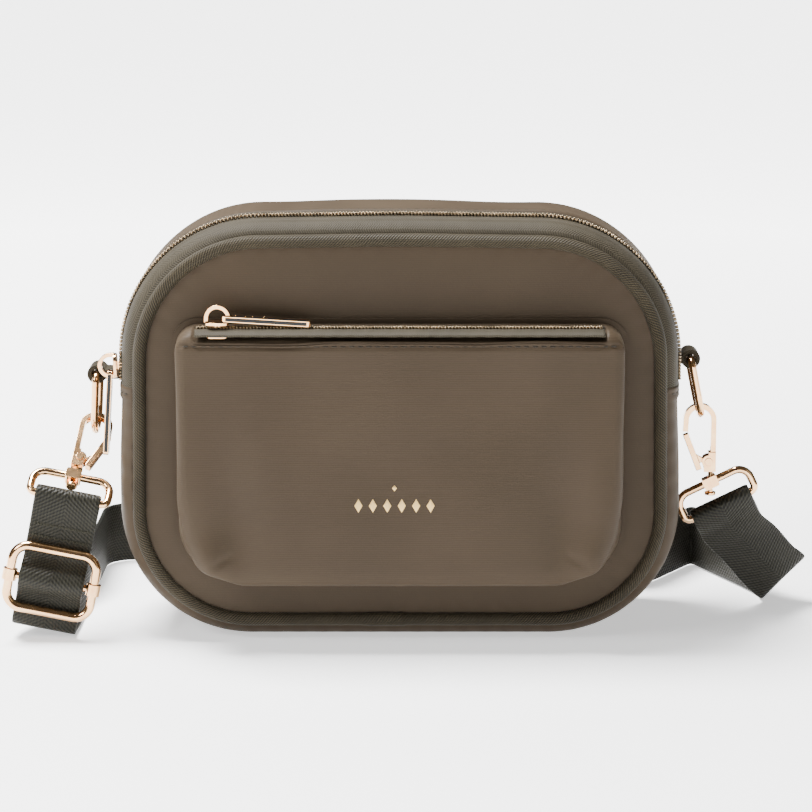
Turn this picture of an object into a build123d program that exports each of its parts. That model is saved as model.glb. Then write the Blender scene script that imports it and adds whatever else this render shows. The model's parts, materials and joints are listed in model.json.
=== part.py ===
"""Crossbody purse: a padded two-panel camera bag with a zipped front pocket and a clip-on webbing strap.

Millimetres. X runs along the bag, Y from its front to its back, Z up. The origin is the middle of the base.
"""

import os
from math import atan2, cos, degrees, hypot, radians, sin

from build123d import *

# ---- Driving dimensions -------------------------------------------------------------------------

# Panel outline, measured on the seam that the piping covers.
PANEL_HALF_LOW = 100.0
PANEL_HALF_HIGH = 97.5
PANEL_BOTTOM = 8.5
PANEL_TOP = 154.0
PANEL_CROWN = 1.5
CORNER_LOW = 42.0
CORNER_HIGH = 46.0
CROWN_RADIUS = 600.0

BAG_HALF_DEPTH = 31.0  # seam plane to the middle of the bag
FABRIC = 2.5  # padded neoprene
GUSSET_SWELL = 8.5  # how far the gusset stands out past the seam
PIPING_RADIUS = 2.6
FIT = 0.1  # sewn pieces that lie against each other
LINING = 0.6

# Main zip: a track round the top of the bag.
ZIP_Y = -18.0
ZIP_END_Z = 100.0
TAPE_THICK = 1.2
TAPE_WIDTH = 6.0
TEETH_ROW = 1.4
TEETH_GAP = 1.2
TEETH_PROUD = 0.6
TEETH_DEPTH = 2.2
SLIDER_LENGTH = 9.0
SLIDER_WIDTH = 7.6
SLIDER_PLATE = 1.1
SLIDER_CLEAR = 0.75
SLIDER_CLEAR_UNDER = 1.2
SLIDER_REST_ANGLE = -3.5  # above the level of the corner's centre
BAIL_RADIUS = 4.1
BAIL_RISE = 1.4  # top plate to the centre of the bail's arch
BAIL_WIRE = 1.5
PULL_LENGTH = 33.0
PULL_WIDTH = 5.0
PULL_THICK = 2.0
PULL_INLAY = 0.35
MAIN_PULL_LEAN = 4.0

# Front pocket.
POCKET_HALF = 84.0
POCKET_BOTTOM = 25.0
POCKET_TOP = 124.0
POCKET_CORNER_LOW = 22.0
POCKET_CORNER_HIGH = 8.0
POCKET_DEPTH = 16.5
POCKET_FABRIC = 1.6
POCKET_TAPER = 4.0
POCKET_ZIP_HALF = 76.0
POCKET_ZIP_SETBACK = 8.3  # middle of the pocket's zip to the pocket's front
POCKET_TAPE_WIDTH = 2.6
POCKET_SLIDER_X = -68.0
FLANGE = 0.6
FLANGE_BORDER = 2.0

# Ring tabs and D rings.
TAB_X = {"left": 117.5, "right": 112.5}
TAB_Y = 2.0
TAB_Z = {"left": 98.7, "right": 104.7}
TAB_WIDTH = 11.0
TAB_THICK = 1.8
RING_WIRE = 2.8
RING_WIDTH = 18.0
RING_HEIGHT = 23.0
RING_CORNER = 2.5
RING_LEAN = {"left": 3.0, "right": 11.5}  # degrees outwards from hanging straight

# Swivel hooks.
HOOK_WIRE = 2.0
HOOK_WIDTH = 3.0
EYE_RADIUS = 5.4
EYE_FROM_RING = {"left": (0, -1.0, 1.0), "right": (0, 0, -2.4)}  # ring's lowest wire to the eye's arch
POST_OFFSET = 4.6
NOSE = (-5.6, -4.6)
BLOCK_TOP = 12.8
BLOCK_BOTTOM = 20.6
BLOCK_LEFT = 1.8
BLOCK_WIDTH = 4.4
SLOT_WIDTH = 1.6
EAR_WIDTH = 1.2
RIVET = (3.6, -16.6)
RIVET_RADIUS = 0.8
RIVET_HEAD = 1.6
POST_RADIUS = 1.0
COLLAR_DROP = 25.0
GATE_WIDTH = 2.2
GATE_TIP = (-5.55, -5.75)
GATE_TAIL = (0.0, -20.0)
HOOK_TILT = {"left": (9.0, 50.0), "right": (0.0, 0.0)}  # degrees: sideways, then forwards
LOOP_TILT = {"left": (11.5, 50.0), "right": (26.0, 0.0)}
STRAP_TILT = {"left": (11.5, 3.0), "right": (26.0, -25.0)}
LOOP_WIDTH = 30.0
LOOP_HEIGHT = 10.5
LOOP_CORNERS = (2.3, 5.0)
LOOP_WIRE = 3.0
COLLAR = (6.0, 4.4, 5.0)

# Webbing strap and its adjuster.
STRAP_WIDTH = 25.0
STRAP_THICK = 1.5
STRAP_CLEAR = 0.3
STRAP_LIFT = 0.3
FRAME_LENGTH = 24.4
FRAME_WIDTH = 32.4
FRAME_CORNER = 6.0
FRAME_WIRE = 3.6
BAR_WIRE = 2.6
ADJUSTER_DROP = 32.5  # from the loop's lower bar down the strap

# ---- Helpers ------------------------------------------------------------------------------------


def grown(corners, grow):
    """A convex polygon, listed anticlockwise, with every edge moved outwards by grow."""
    moved = []
    count = len(corners)
    for i, (x, z) in enumerate(corners):
        before = corners[i - 1]
        after = corners[(i + 1) % count]
        n1 = edge_normal(before, (x, z))
        n2 = edge_normal((x, z), after)
        share = grow / (1 + n1[0] * n2[0] + n1[1] * n2[1])
        moved.append((x + share * (n1[0] + n2[0]), z + share * (n1[1] + n2[1])))
    return moved


def edge_normal(a, b):
    length = hypot(b[0] - a[0], b[1] - a[1])
    return ((b[1] - a[1]) / length, (a[0] - b[0]) / length)


def panel_corners():
    return [
        (-PANEL_HALF_LOW, PANEL_BOTTOM),
        (PANEL_HALF_LOW, PANEL_BOTTOM),
        (PANEL_HALF_HIGH, PANEL_TOP),
        (0, PANEL_TOP + PANEL_CROWN),
        (-PANEL_HALF_HIGH, PANEL_TOP),
    ]


PANEL_RADII = [CORNER_LOW, CORNER_LOW, CORNER_HIGH, CROWN_RADIUS, CORNER_HIGH]


def panel_outline(grow):
    """The bag's outline, moved outwards by grow, as a closed line in the current BuildLine."""
    radii = [r + grow for r in PANEL_RADII]
    return FilletPolyline(*grown(panel_corners(), grow), radius=radii, close=True)


def panel_loft(stations, mode=Mode.ADD):
    """A solid through the bag's outline at several depths: stations are (y, grow)."""
    sections = []
    for y, grow in stations:
        with BuildSketch(Plane.XZ.offset(-y)) as section:
            with BuildLine():
                panel_outline(grow)
            make_face()
        sections.append(section.sketch)
    loft(sections, ruled=True, mode=mode)


def gusset_stations(inset):
    """The gusset swells quickly behind the piping, and is level across the middle."""
    end = BAG_HALF_DEPTH - PIPING_RADIUS - FIT
    half = [(end, 4.5), (end - 3.3, 7.2), (end - 10.3, GUSSET_SWELL)]
    front = [(-y, grow - inset) for y, grow in half]
    return front + [(y, grow - inset) for y, grow in reversed(half)]


def slab(x0, x1, y0, y1, z0, z1, mode):
    with Locations(((x0 + x1) / 2, (y0 + y1) / 2, (z0 + z1) / 2)):
        Box(x1 - x0, y1 - y0, z1 - z0, mode=mode)


def gusset_strip(y0, y1, outside, thick):
    """A strip of the gusset above the zip ends, from y0 to y1, its outer face outside past the gusset's."""
    panel_loft(gusset_stations(-outside))
    panel_loft(gusset_stations(thick - outside), mode=Mode.SUBTRACT)
    slab(-150, 150, y0, y1, ZIP_END_Z, 200, Mode.INTERSECT)


def corner_centre(index):
    """The centre of the arc at one of the panel outline's corners."""
    corners = panel_corners()
    inner = grown(corners, -PANEL_RADII[index])
    return inner[index]


def finish(part, name):
    part.label = name
    export_step(part, f"parts/{name}.step")
    return part


os.makedirs("parts", exist_ok=True)
PIPING_INNER = PIPING_RADIUS + FIT
SEAM_END = BAG_HALF_DEPTH - PIPING_RADIUS - FIT

# ---- Panels, piping and gusset ------------------------------------------------------------------

for name, front in (("front_panel", -1), ("back_panel", 1)):
    inner_face = front * (BAG_HALF_DEPTH - 1.0)
    with BuildPart() as panel:
        with BuildSketch(Plane.XZ.offset(-inner_face)):
            with BuildLine():
                panel_outline(-PIPING_INNER)
            make_face()
        extrude(amount=-front * FABRIC)
        fillet(panel.faces().sort_by(Axis.Y)[0 if front < 0 else -1].edges(), 0.8)
    finish(panel.part, name)

for name, y in (("front_piping", -BAG_HALF_DEPTH), ("rear_piping", BAG_HALF_DEPTH)):
    with BuildPart() as piping:
        with BuildLine(Plane.XZ.offset(-y)) as seam:
            panel_outline(0)
        with BuildSketch(Plane(seam.line @ 0, z_dir=seam.line % 0)):
            Circle(PIPING_RADIUS)
        sweep(path=seam.line)
    finish(piping.part, name)

with BuildPart() as lower_gusset:
    panel_loft(gusset_stations(0))
    panel_loft(gusset_stations(FABRIC), mode=Mode.SUBTRACT)
    slab(-150, 150, -60, 60, ZIP_END_Z - FIT, 200, Mode.SUBTRACT)
finish(lower_gusset.part, "lower_gusset")

teeth_half = TEETH_GAP / 2 + TEETH_ROW
tape_half = teeth_half + TAPE_WIDTH
with BuildPart() as top_gusset:
    gusset_strip(ZIP_Y + tape_half + FIT, SEAM_END + 1, 0, FABRIC)
finish(top_gusset.part, "top_gusset")

with BuildPart() as tape_front:
    gusset_strip(-SEAM_END - 1, ZIP_Y - teeth_half - FIT, -0.2, TAPE_THICK)
finish(tape_front.part, "main_zip_tape_front")

with BuildPart() as tape_rear:
    gusset_strip(ZIP_Y + teeth_half + FIT, ZIP_Y + tape_half, -0.2, TAPE_THICK)
finish(tape_rear.part, "main_zip_tape_rear")

teeth_rows = {
    "main_zip_teeth_front": (ZIP_Y - teeth_half, ZIP_Y - TEETH_GAP / 2),
    "main_zip_teeth_rear": (ZIP_Y + TEETH_GAP / 2, ZIP_Y + teeth_half),
}
for name, (y0, y1) in teeth_rows.items():
    with BuildPart() as teeth:
        gusset_strip(y0, y1, TEETH_PROUD, TEETH_DEPTH)
    finish(teeth.part, name)

# Neoprene hems that cover the zip's two ends, each a strip folded over the lower gusset's top edge.
HEM_HEIGHT = 5.0
HEM_THICK = 0.7
HEM_OUT = 0.1
hem_stations = [(y, grow) for y, grow in gusset_stations(-HEM_OUT - HEM_THICK) if abs(y) < SEAM_END]
with BuildPart() as hems:
    panel_loft(hem_stations)
    panel_loft([(y, grow - HEM_THICK) for y, grow in hem_stations], mode=Mode.SUBTRACT)
    hem_top = ZIP_END_Z - FIT
    slab(-150, 150, -60, ZIP_Y + tape_half, hem_top - HEM_HEIGHT, hem_top, Mode.INTERSECT)
finish(hems.part, "zip_end_hems")

# ---- Lining -------------------------------------------------------------------------------------

LINING_TOP = 146.0
lining_y = BAG_HALF_DEPTH - 1.0 - 0.3
lining_stations = [(-lining_y, -3.5), (-lining_y + 6, 3.0), (lining_y - 6, 3.0), (lining_y, -3.5)]
with BuildPart() as lining:
    panel_loft(lining_stations)
    hollow = [(y - LINING if y > 0 else y + LINING, grow - LINING) for y, grow in lining_stations]
    panel_loft(hollow, mode=Mode.SUBTRACT)
    slab(-150, 150, -60, 60, LINING_TOP, 200, Mode.SUBTRACT)
finish(lining.part, "main_lining")

SLIP_HALF = 62.0
SLIP_BOTTOM = 40.0
SLIP_TOP = 118.0
SLIP_THICK = 1.0
with BuildPart() as slip:
    slip_back = lining_y - LINING - 0.2
    slab(-SLIP_HALF, SLIP_HALF, slip_back - SLIP_THICK, slip_back, SLIP_BOTTOM, SLIP_TOP, Mode.ADD)
    fillet(slip.edges().filter_by(Axis.Y).group_by(Axis.Z)[0], 10)
finish(slip.part, "inner_slip_pocket")

# ---- Front pocket -------------------------------------------------------------------------------

panel_face = -(BAG_HALF_DEPTH - 1.0) - FABRIC
flange_back = panel_face - 0.05
pocket_back = flange_back - FLANGE - 0.05
pocket_front = pocket_back - POCKET_DEPTH
pocket_zip_y = pocket_front + POCKET_ZIP_SETBACK
POCKET_RADII = [POCKET_CORNER_LOW, POCKET_CORNER_LOW, POCKET_CORNER_HIGH, POCKET_CORNER_HIGH]


def pocket_outline(grow):
    corners = [
        (-POCKET_HALF, POCKET_BOTTOM),
        (POCKET_HALF, POCKET_BOTTOM),
        (POCKET_HALF, POCKET_TOP),
        (-POCKET_HALF, POCKET_TOP),
    ]
    radii = [max(r + grow, 1.0) for r in POCKET_RADII]
    return FilletPolyline(*grown(corners, grow), radius=radii, close=True)


def pocket_loft(stations, mode=Mode.ADD):
    sections = []
    for y, grow in stations:
        with BuildSketch(Plane.XZ.offset(-y)) as section:
            with BuildLine():
                pocket_outline(grow)
            make_face()
        sections.append(section.sketch)
    loft(sections, ruled=True, mode=mode)


with BuildPart() as flange:
    pocket_loft([(flange_back, FLANGE_BORDER), (flange_back - FLANGE, FLANGE_BORDER)])
    pocket_loft([(flange_back + 1, -6), (flange_back - FLANGE - 1, -6)], mode=Mode.SUBTRACT)
finish(flange.part, "pocket_flange")

shoulder = pocket_front + POCKET_TAPER
pocket_slot = POCKET_TAPE_WIDTH + teeth_half + FIT
with BuildPart() as pocket:
    pocket_loft([(pocket_back, 0), (shoulder, 0), (pocket_front, -POCKET_TAPER)])
    inner_front = pocket_front + POCKET_FABRIC
    walls = [(pocket_back + 1, -POCKET_FABRIC), (shoulder, -POCKET_FABRIC)]
    pocket_loft(walls + [(inner_front, -POCKET_TAPER)], mode=Mode.SUBTRACT)
    zip_slot = (pocket_zip_y - pocket_slot, pocket_zip_y + pocket_slot)
    slab(-POCKET_ZIP_HALF, POCKET_ZIP_HALF, *zip_slot, POCKET_TOP - 5, POCKET_TOP + 1, Mode.SUBTRACT)
finish(pocket.part, "front_pocket")

tape_top = POCKET_TOP - 0.2
for name, side in (("pocket_zip_tape_front", -1), ("pocket_zip_tape_rear", 1)):
    near = pocket_zip_y + side * (teeth_half + FIT)
    far = near + side * (POCKET_TAPE_WIDTH - FIT)
    y0, y1 = min(near, far), max(near, far)
    with BuildPart() as tape:
        slab(-POCKET_ZIP_HALF, POCKET_ZIP_HALF, y0, y1, tape_top - TAPE_THICK, tape_top, Mode.ADD)
    finish(tape.part, name)

teeth_top = tape_top + TEETH_PROUD
for name, side in (("pocket_zip_teeth_front", -1), ("pocket_zip_teeth_rear", 1)):
    near = pocket_zip_y + side * TEETH_GAP / 2
    far = pocket_zip_y + side * teeth_half
    y0, y1 = min(near, far), max(near, far)
    with BuildPart() as teeth:
        slab(-POCKET_ZIP_HALF, POCKET_ZIP_HALF, y0, y1, teeth_top - TEETH_DEPTH, teeth_top, Mode.ADD)
    finish(teeth.part, name)

# A row of plain foil lozenges with one above it, as plain trim.
EMBLEM_Z = 58.0
EMBLEM_X = -2.0
EMBLEM_COUNT = 6
EMBLEM_PITCH = 5.4
EMBLEM_SIZE = (3.0, 5.2)
EMBLEM_THICK = 0.2
with BuildPart() as emblem:
    with BuildSketch(Plane.XZ.offset(-(pocket_front - 0.03))):
        with Locations((EMBLEM_X, EMBLEM_Z)):
            with GridLocations(EMBLEM_PITCH, 1, EMBLEM_COUNT, 1):
                wide, tall = EMBLEM_SIZE
                Polygon((-wide / 2, 0), (0, -tall / 2), (wide / 2, 0), (0, tall / 2), align=None)
        with Locations((EMBLEM_X, EMBLEM_Z + 6.4)):
            RegularPolygon(1.5, 4)
    extrude(amount=EMBLEM_THICK)
finish(emblem.part, "emblem_foil")

# ---- Zip sliders and pulls ----------------------------------------------------------------------


BAIL_LEVEL = SLIDER_CLEAR + SLIDER_PLATE + BAIL_RISE


def slider_solid(plane):
    """A zip slider on a plane at the teeth's outer face: x runs along the track, z out of the cloth."""
    lower_top = -TEETH_DEPTH - SLIDER_CLEAR_UNDER
    for level in (SLIDER_CLEAR, lower_top - SLIDER_PLATE):
        with BuildSketch(plane.offset(level)) as plate:
            RectangleRounded(SLIDER_LENGTH, SLIDER_WIDTH, 2.4)
        extrude(plate.sketch, amount=SLIDER_PLATE)
    with BuildSketch(plane.offset(lower_top)) as neck:
        Rectangle(3.2, TEETH_GAP - 0.3)
    extrude(neck.sketch, amount=SLIDER_CLEAR - lower_top)
    bail_plane = Plane(plane.origin, x_dir=plane.x_dir, z_dir=plane.y_dir * -1)
    base = SLIDER_CLEAR + SLIDER_PLATE - 0.3
    with BuildSketch(bail_plane) as bail:
        with BuildLine() as arch:
            Line((BAIL_RADIUS, base), (BAIL_RADIUS, BAIL_LEVEL))
            CenterArc((0, BAIL_LEVEL), BAIL_RADIUS, 0, 180)
            Line((-BAIL_RADIUS, BAIL_LEVEL), (-BAIL_RADIUS, base))
        trace(arch.line, line_width=BAIL_WIRE)
    extrude(bail.sketch, amount=BAIL_WIRE / 2, both=True)


def pull_plane(centre, direction):
    """A pull's plane on a bail: the pull points straight away from the centre of the bail's arch."""
    return Plane(centre + direction * BAIL_RADIUS, x_dir=direction, z_dir=direction.cross(Vector(0, 1, 0)))


def pull_solids(plane):
    """The flat pull on a plane: x runs from its eye to its tip, z out of its face. Its eye is at the origin."""
    eye = BAIL_WIRE / 2 + 0.35
    neck = 1.2
    with BuildPart() as bar:
        with BuildSketch(plane.offset(-PULL_THICK / 2)):
            with Locations((PULL_LENGTH / 2 - eye - neck, 0)):
                RectangleRounded(PULL_LENGTH, PULL_WIDTH, 1.2)
        extrude(amount=PULL_THICK)
        with BuildSketch(plane.offset(-PULL_THICK)):
            Rectangle(2 * eye, BAIL_WIRE + 0.7)
        extrude(amount=2 * PULL_THICK, mode=Mode.SUBTRACT)
        with BuildSketch(plane.offset(PULL_THICK / 2 - PULL_INLAY)):
            with Locations((PULL_LENGTH / 2 - eye - neck + 1.6, 0)):
                RectangleRounded(PULL_LENGTH - 5.2, PULL_WIDTH - 1.4, 0.6)
        extrude(amount=PULL_INLAY, mode=Mode.SUBTRACT)
    with BuildPart() as inlay:
        with BuildSketch(plane.offset(PULL_THICK / 2 - PULL_INLAY)):
            with Locations((PULL_LENGTH / 2 - eye - neck + 1.6, 0)):
                RectangleRounded(PULL_LENGTH - 5.2, PULL_WIDTH - 1.4, 0.6)
        extrude(amount=PULL_INLAY)
    return bar.part, inlay.part


track_x, track_z = corner_centre(4)
track_radius = CORNER_HIGH + GUSSET_SWELL + TEETH_PROUD
rest = radians(SLIDER_REST_ANGLE)
out = Vector(-cos(rest), 0, sin(rest))
along = Vector(sin(rest), 0, cos(rest))
main_slider_at = Vector(track_x, ZIP_Y, track_z) + out * track_radius
main_slider_plane = Plane(main_slider_at, x_dir=along, z_dir=out)
with BuildPart() as main_slider:
    slider_solid(main_slider_plane)
finish(main_slider.part, "main_slider")

main_bail_at = main_slider_at + out * BAIL_LEVEL
lean_out = radians(MAIN_PULL_LEAN)
main_pull, main_inlay = pull_solids(pull_plane(main_bail_at, Vector(-sin(lean_out), 0, -cos(lean_out))))
finish(main_pull, "main_pull")
finish(main_inlay, "main_pull_inlay")

pocket_slider_at = Vector(POCKET_SLIDER_X, pocket_zip_y, teeth_top)
with BuildPart() as pocket_slider:
    slider_solid(Plane(pocket_slider_at, x_dir=(1, 0, 0), z_dir=(0, 0, 1)))
finish(pocket_slider.part, "pocket_slider")

POCKET_PULL_SLOPE = 3.5
slope = radians(POCKET_PULL_SLOPE)
pocket_bail_at = pocket_slider_at + Vector(0, 0, BAIL_LEVEL)
pocket_pull, pocket_inlay = pull_solids(pull_plane(pocket_bail_at, Vector(cos(slope), 0, -sin(slope))))
finish(pocket_pull, "pocket_pull")
finish(pocket_inlay, "pocket_pull_inlay")

# ---- Ring tabs and D rings ----------------------------------------------------------------------

SIDES = {"left": -1, "right": 1}
ring_bottom = {}
for side, sign in SIDES.items():
    hole = RING_WIRE / 2 + 0.5
    tab_x = TAB_X[side]
    tab_z = TAB_Z[side]
    with BuildPart() as tab:
        with BuildSketch(Plane.XZ.offset(-(TAB_Y + TAB_WIDTH / 2))):
            with Locations((sign * tab_x, tab_z)):
                Circle(hole + TAB_THICK)
            wall = PANEL_HALF_HIGH + GUSSET_SWELL + 1.2
            with Locations((sign * (wall + tab_x) / 2, tab_z)):
                Rectangle(tab_x - wall, 2 * TAB_THICK)
            with Locations((sign * tab_x, tab_z)):
                Circle(hole, mode=Mode.SUBTRACT)
        extrude(amount=TAB_WIDTH)
    finish(tab.part, f"ring_tab_{side}")

    lean = radians(RING_LEAN[side])
    down = Vector(sign * sin(lean), 0, -cos(lean))
    ring_at = Vector(sign * tab_x, TAB_Y, tab_z)
    ring_bottom[side] = ring_at + down * RING_HEIGHT
    ring_plane = Plane(ring_at, x_dir=(0, 1, 0), z_dir=Vector(0, 1, 0).cross(down * -1))
    half = RING_WIDTH / 2
    corners = [(-half, 0), (half, 0), (half, -RING_HEIGHT), (-half, -RING_HEIGHT)]
    with BuildPart() as ring:
        with BuildLine(ring_plane) as ring_line:
            radii = [RING_CORNER, RING_CORNER, half - 0.1, half - 0.1]
            FilletPolyline(*corners, radius=radii, close=True)
        with BuildSketch(Plane(ring_line.line @ 0, z_dir=ring_line.line % 0)):
            Circle(RING_WIRE / 2)
        sweep(path=ring_line.line)
    finish(ring.part, f"d_ring_{side}")

# ---- Swivel hooks -------------------------------------------------------------------------------


def tilted_plane(origin, sign, tilt):
    """A plane whose x points outwards from the bag and whose y points up the hook."""
    sideways, forwards = radians(tilt[0]), radians(tilt[1])
    down = Vector(sign * sin(sideways) * cos(forwards), -sin(forwards), -cos(sideways) * cos(forwards))
    outward = Vector(sign * cos(sideways), 0, sin(sideways))
    return Plane(origin, x_dir=outward, z_dir=outward.cross(down * -1))


def at(plane, x, y):
    return plane.origin + plane.x_dir * x + plane.y_dir * y


def pin(plane, x, y, radius, length, mode=Mode.ADD):
    """A round pin square to the plane, centred on it."""
    with BuildSketch(plane) as end:
        with Locations((x, y)):
            Circle(radius)
    extrude(end.sketch, amount=length / 2, both=True, mode=mode)


def hook_solid(plane):
    with BuildSketch(plane) as eye:
        with BuildLine() as wire:
            Line((EYE_RADIUS, -BLOCK_TOP - 1), (EYE_RADIUS, 0))
            CenterArc((0, 0), EYE_RADIUS, 0, 180)
            Line((-EYE_RADIUS, 0), NOSE)
        trace(wire.line, line_width=HOOK_WIRE)
    extrude(eye.sketch, amount=HOOK_WIDTH / 2, both=True)
    right = EYE_RADIUS + HOOK_WIRE / 2
    with BuildSketch(plane) as block:
        with Locations(RIVET):
            Circle(2.6)
        with Locations(((BLOCK_LEFT + right) / 2, (RIVET[1] - BLOCK_BOTTOM) / 2)):
            Rectangle(right - BLOCK_LEFT, BLOCK_BOTTOM + RIVET[1])
        with Locations(((RIVET[0] + right) / 2, -(BLOCK_TOP + BLOCK_BOTTOM) / 2)):
            Rectangle(right - RIVET[0], BLOCK_BOTTOM - BLOCK_TOP)
    extrude(block.sketch, amount=BLOCK_WIDTH / 2, both=True)
    slot_right = right - 0.9
    with BuildSketch(plane) as slot:
        with Locations(((slot_right - 4) / 2, -(BLOCK_TOP - 2 + BLOCK_BOTTOM - 1.4) / 2)):
            Rectangle(slot_right + 4, BLOCK_BOTTOM - 1.4 - BLOCK_TOP + 2)
    extrude(slot.sketch, amount=SLOT_WIDTH / 2, both=True, mode=Mode.SUBTRACT)
    pin(plane, *RIVET, RIVET_RADIUS, 20, mode=Mode.SUBTRACT)


def gate_solid(plane):
    """The sprung lever that closes the eye, with the ear that the rivet goes through."""
    with BuildSketch(plane) as lever:
        with BuildLine() as middle:
            Line(GATE_TIP, GATE_TAIL)
        trace(middle.line, line_width=GATE_WIDTH)
    extrude(lever.sketch, amount=HOOK_WIDTH / 2, both=True)
    with BuildSketch(plane) as ear:
        with BuildLine():
            Polyline((-2.8, -12.8), RIVET, (-0.9, -17.7), close=True)
        make_face()
        with Locations(RIVET):
            Circle(1.6)
    extrude(ear.sketch, amount=EAR_WIDTH / 2, both=True)
    pin(plane, *RIVET, RIVET_RADIUS + 0.1, 20, mode=Mode.SUBTRACT)


def loop_solid(plane):
    """The oval that the webbing goes through, with its bored collar. The plane's origin is the collar's middle."""
    half = LOOP_WIDTH / 2
    corners = [(-half, 0), (half, 0), (half, -LOOP_HEIGHT), (-half, -LOOP_HEIGHT)]
    with BuildLine(plane) as oval:
        low, high = LOOP_CORNERS
        FilletPolyline(*corners, radius=[high, high, low, low], close=True)
    with BuildSketch(Plane(oval.line @ 0, z_dir=oval.line % 0)) as wire:
        Circle(LOOP_WIRE / 2)
    sweep(wire.sketch, path=oval.line)
    with BuildSketch(plane) as collar:
        RectangleRounded(COLLAR[0], COLLAR[1], 0.8)
    extrude(collar.sketch, amount=COLLAR[2] / 2, both=True)


joint_places = {}
for side, sign in SIDES.items():
    eye_at = ring_bottom[side] + Vector(*EYE_FROM_RING[side])
    hook_plane = tilted_plane(eye_at, sign, HOOK_TILT[side])
    collar_at = at(hook_plane, POST_OFFSET, -COLLAR_DROP)
    loop_plane = tilted_plane(collar_at, sign, LOOP_TILT[side])

    with BuildPart() as hook:
        hook_solid(hook_plane)
    finish(hook.part, f"hook_{side}")

    with BuildPart() as gate:
        gate_solid(hook_plane)
    finish(gate.part, f"hook_gate_{side}")

    with BuildPart() as rivet:
        pin(hook_plane, *RIVET, RIVET_RADIUS, BLOCK_WIDTH)
        for level in (BLOCK_WIDTH / 2, -BLOCK_WIDTH / 2 - 0.4):
            with BuildSketch(hook_plane.offset(level)):
                with Locations(RIVET):
                    Circle(RIVET_HEAD)
            extrude(amount=0.4)
    finish(rivet.part, f"gate_rivet_{side}")

    with BuildPart() as spring:
        with BuildSketch(hook_plane):
            with Locations((BLOCK_LEFT + 1.6, 1.4 + 0.25 - BLOCK_BOTTOM)):
                Rectangle(3.4, 0.4)
        extrude(amount=EAR_WIDTH / 2, both=True)
    finish(spring.part, f"gate_spring_{side}")

    post_top = Plane(at(hook_plane, POST_OFFSET, -BLOCK_BOTTOM), z_dir=hook_plane.y_dir * -1)
    post_length = COLLAR_DROP - BLOCK_BOTTOM + COLLAR[1] / 2 + 1.8
    with BuildPart() as post:
        with BuildSketch(post_top):
            Circle(POST_RADIUS)
        extrude(amount=post_length)
        with BuildSketch(post_top.offset(post_length)):
            Circle(2.2)
        extrude(amount=1.2)
        fillet(post.faces().sort_by(Axis((0, 0, 0), tuple(hook_plane.y_dir)))[0].edges(), 0.4)
    finish(post.part, f"swivel_post_{side}")

    with BuildPart() as loop:
        loop_solid(loop_plane)
        with BuildSketch(Plane(collar_at - hook_plane.y_dir * 10, z_dir=hook_plane.y_dir)):
            Circle(POST_RADIUS + 0.9)
        extrude(amount=20, mode=Mode.SUBTRACT)
    finish(loop.part, f"swivel_loop_{side}")

    joint_places[side] = {
        "ring": (sign * TAB_X[side], TAB_Y, TAB_Z[side]),
        "rivet": tuple(at(hook_plane, *RIVET)),
        "hook_normal": tuple(hook_plane.z_dir),
        "hook_up": tuple(hook_plane.y_dir),
        "collar": tuple(collar_at),
        "bar": tuple(at(loop_plane, 0, -LOOP_HEIGHT)),
        "bar_direction": tuple(loop_plane.x_dir),
        "loop_up": tuple(loop_plane.y_dir),
    }
    if side == "left":
        left_loop_plane = loop_plane
    else:
        right_loop_plane = loop_plane

# ---- Webbing strap ------------------------------------------------------------------------------


def strap_profile_plane(loop_plane, side):
    """A plane square to the loop's lower bar: x points to the front of the webbing, y up it."""
    hang = tilted_plane(at(loop_plane, 0, -LOOP_HEIGHT), SIDES[side], STRAP_TILT[side])
    front = hang.z_dir
    if front.Y > 0:
        front = front * -1
    return Plane(hang.origin, x_dir=front, z_dir=front.cross(hang.y_dir))


def webbing(plane, points, radii):
    """Webbing that stays square to a plane: a line in the plane, thickened, as wide as the strap."""
    with BuildSketch(plane) as side_view:
        with BuildLine() as middle:
            FilletPolyline(*points, radius=radii)
        trace(middle.line, line_width=STRAP_THICK)
    extrude(side_view.sketch, amount=STRAP_WIDTH / 2, both=True)


wrap = LOOP_WIRE / 2 + STRAP_CLEAR + STRAP_THICK / 2
ply = STRAP_THICK / 2 + 0.05
over = FRAME_WIRE  # the adjuster's plane stands this far in front of the bar's
low = over - FRAME_WIRE / 2 - STRAP_CLEAR - STRAP_THICK / 2
high = over + BAR_WIRE / 2 + STRAP_CLEAR + STRAP_THICK / 2
left_profile = strap_profile_plane(left_loop_plane, "left")
LEFT_FOOT = 3.8  # the webbing's middle above the floor, where it turns
LEFT_LENGTH = (left_profile.origin.Z - LEFT_FOOT) / left_profile.y_dir.Z
LEFT_DROP = [
    (low - 2 * ply, -17.0),
    (low - 2 * ply, -11.0),
    (-wrap, -3.5),
    (-wrap, wrap),
    (wrap, wrap),
    (wrap, -3.5),
    (low, -11.0),
    (low, 7.0 - ADJUSTER_DROP),
    (high, 2.2 - ADJUSTER_DROP),
    (high, -2.2 - ADJUSTER_DROP),
    (low, -7.0 - ADJUSTER_DROP),
    (low, -LEFT_LENGTH),
    (low - 8.0, -LEFT_LENGTH + 8.0 * left_profile.x_dir.Z / left_profile.y_dir.Z),
]
LEFT_RADII = [4, 4, wrap - 0.05, wrap - 0.05, 4, 4, 1.6, 2.0, 2.0, 1.6, 3.6]
with BuildPart() as strap_left_drop:
    webbing(left_profile, LEFT_DROP, LEFT_RADII)
finish(strap_left_drop.part, "strap_left_drop")
print("strap bends down the left side:", [round(r, 2) for r in LEFT_RADII])


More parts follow.
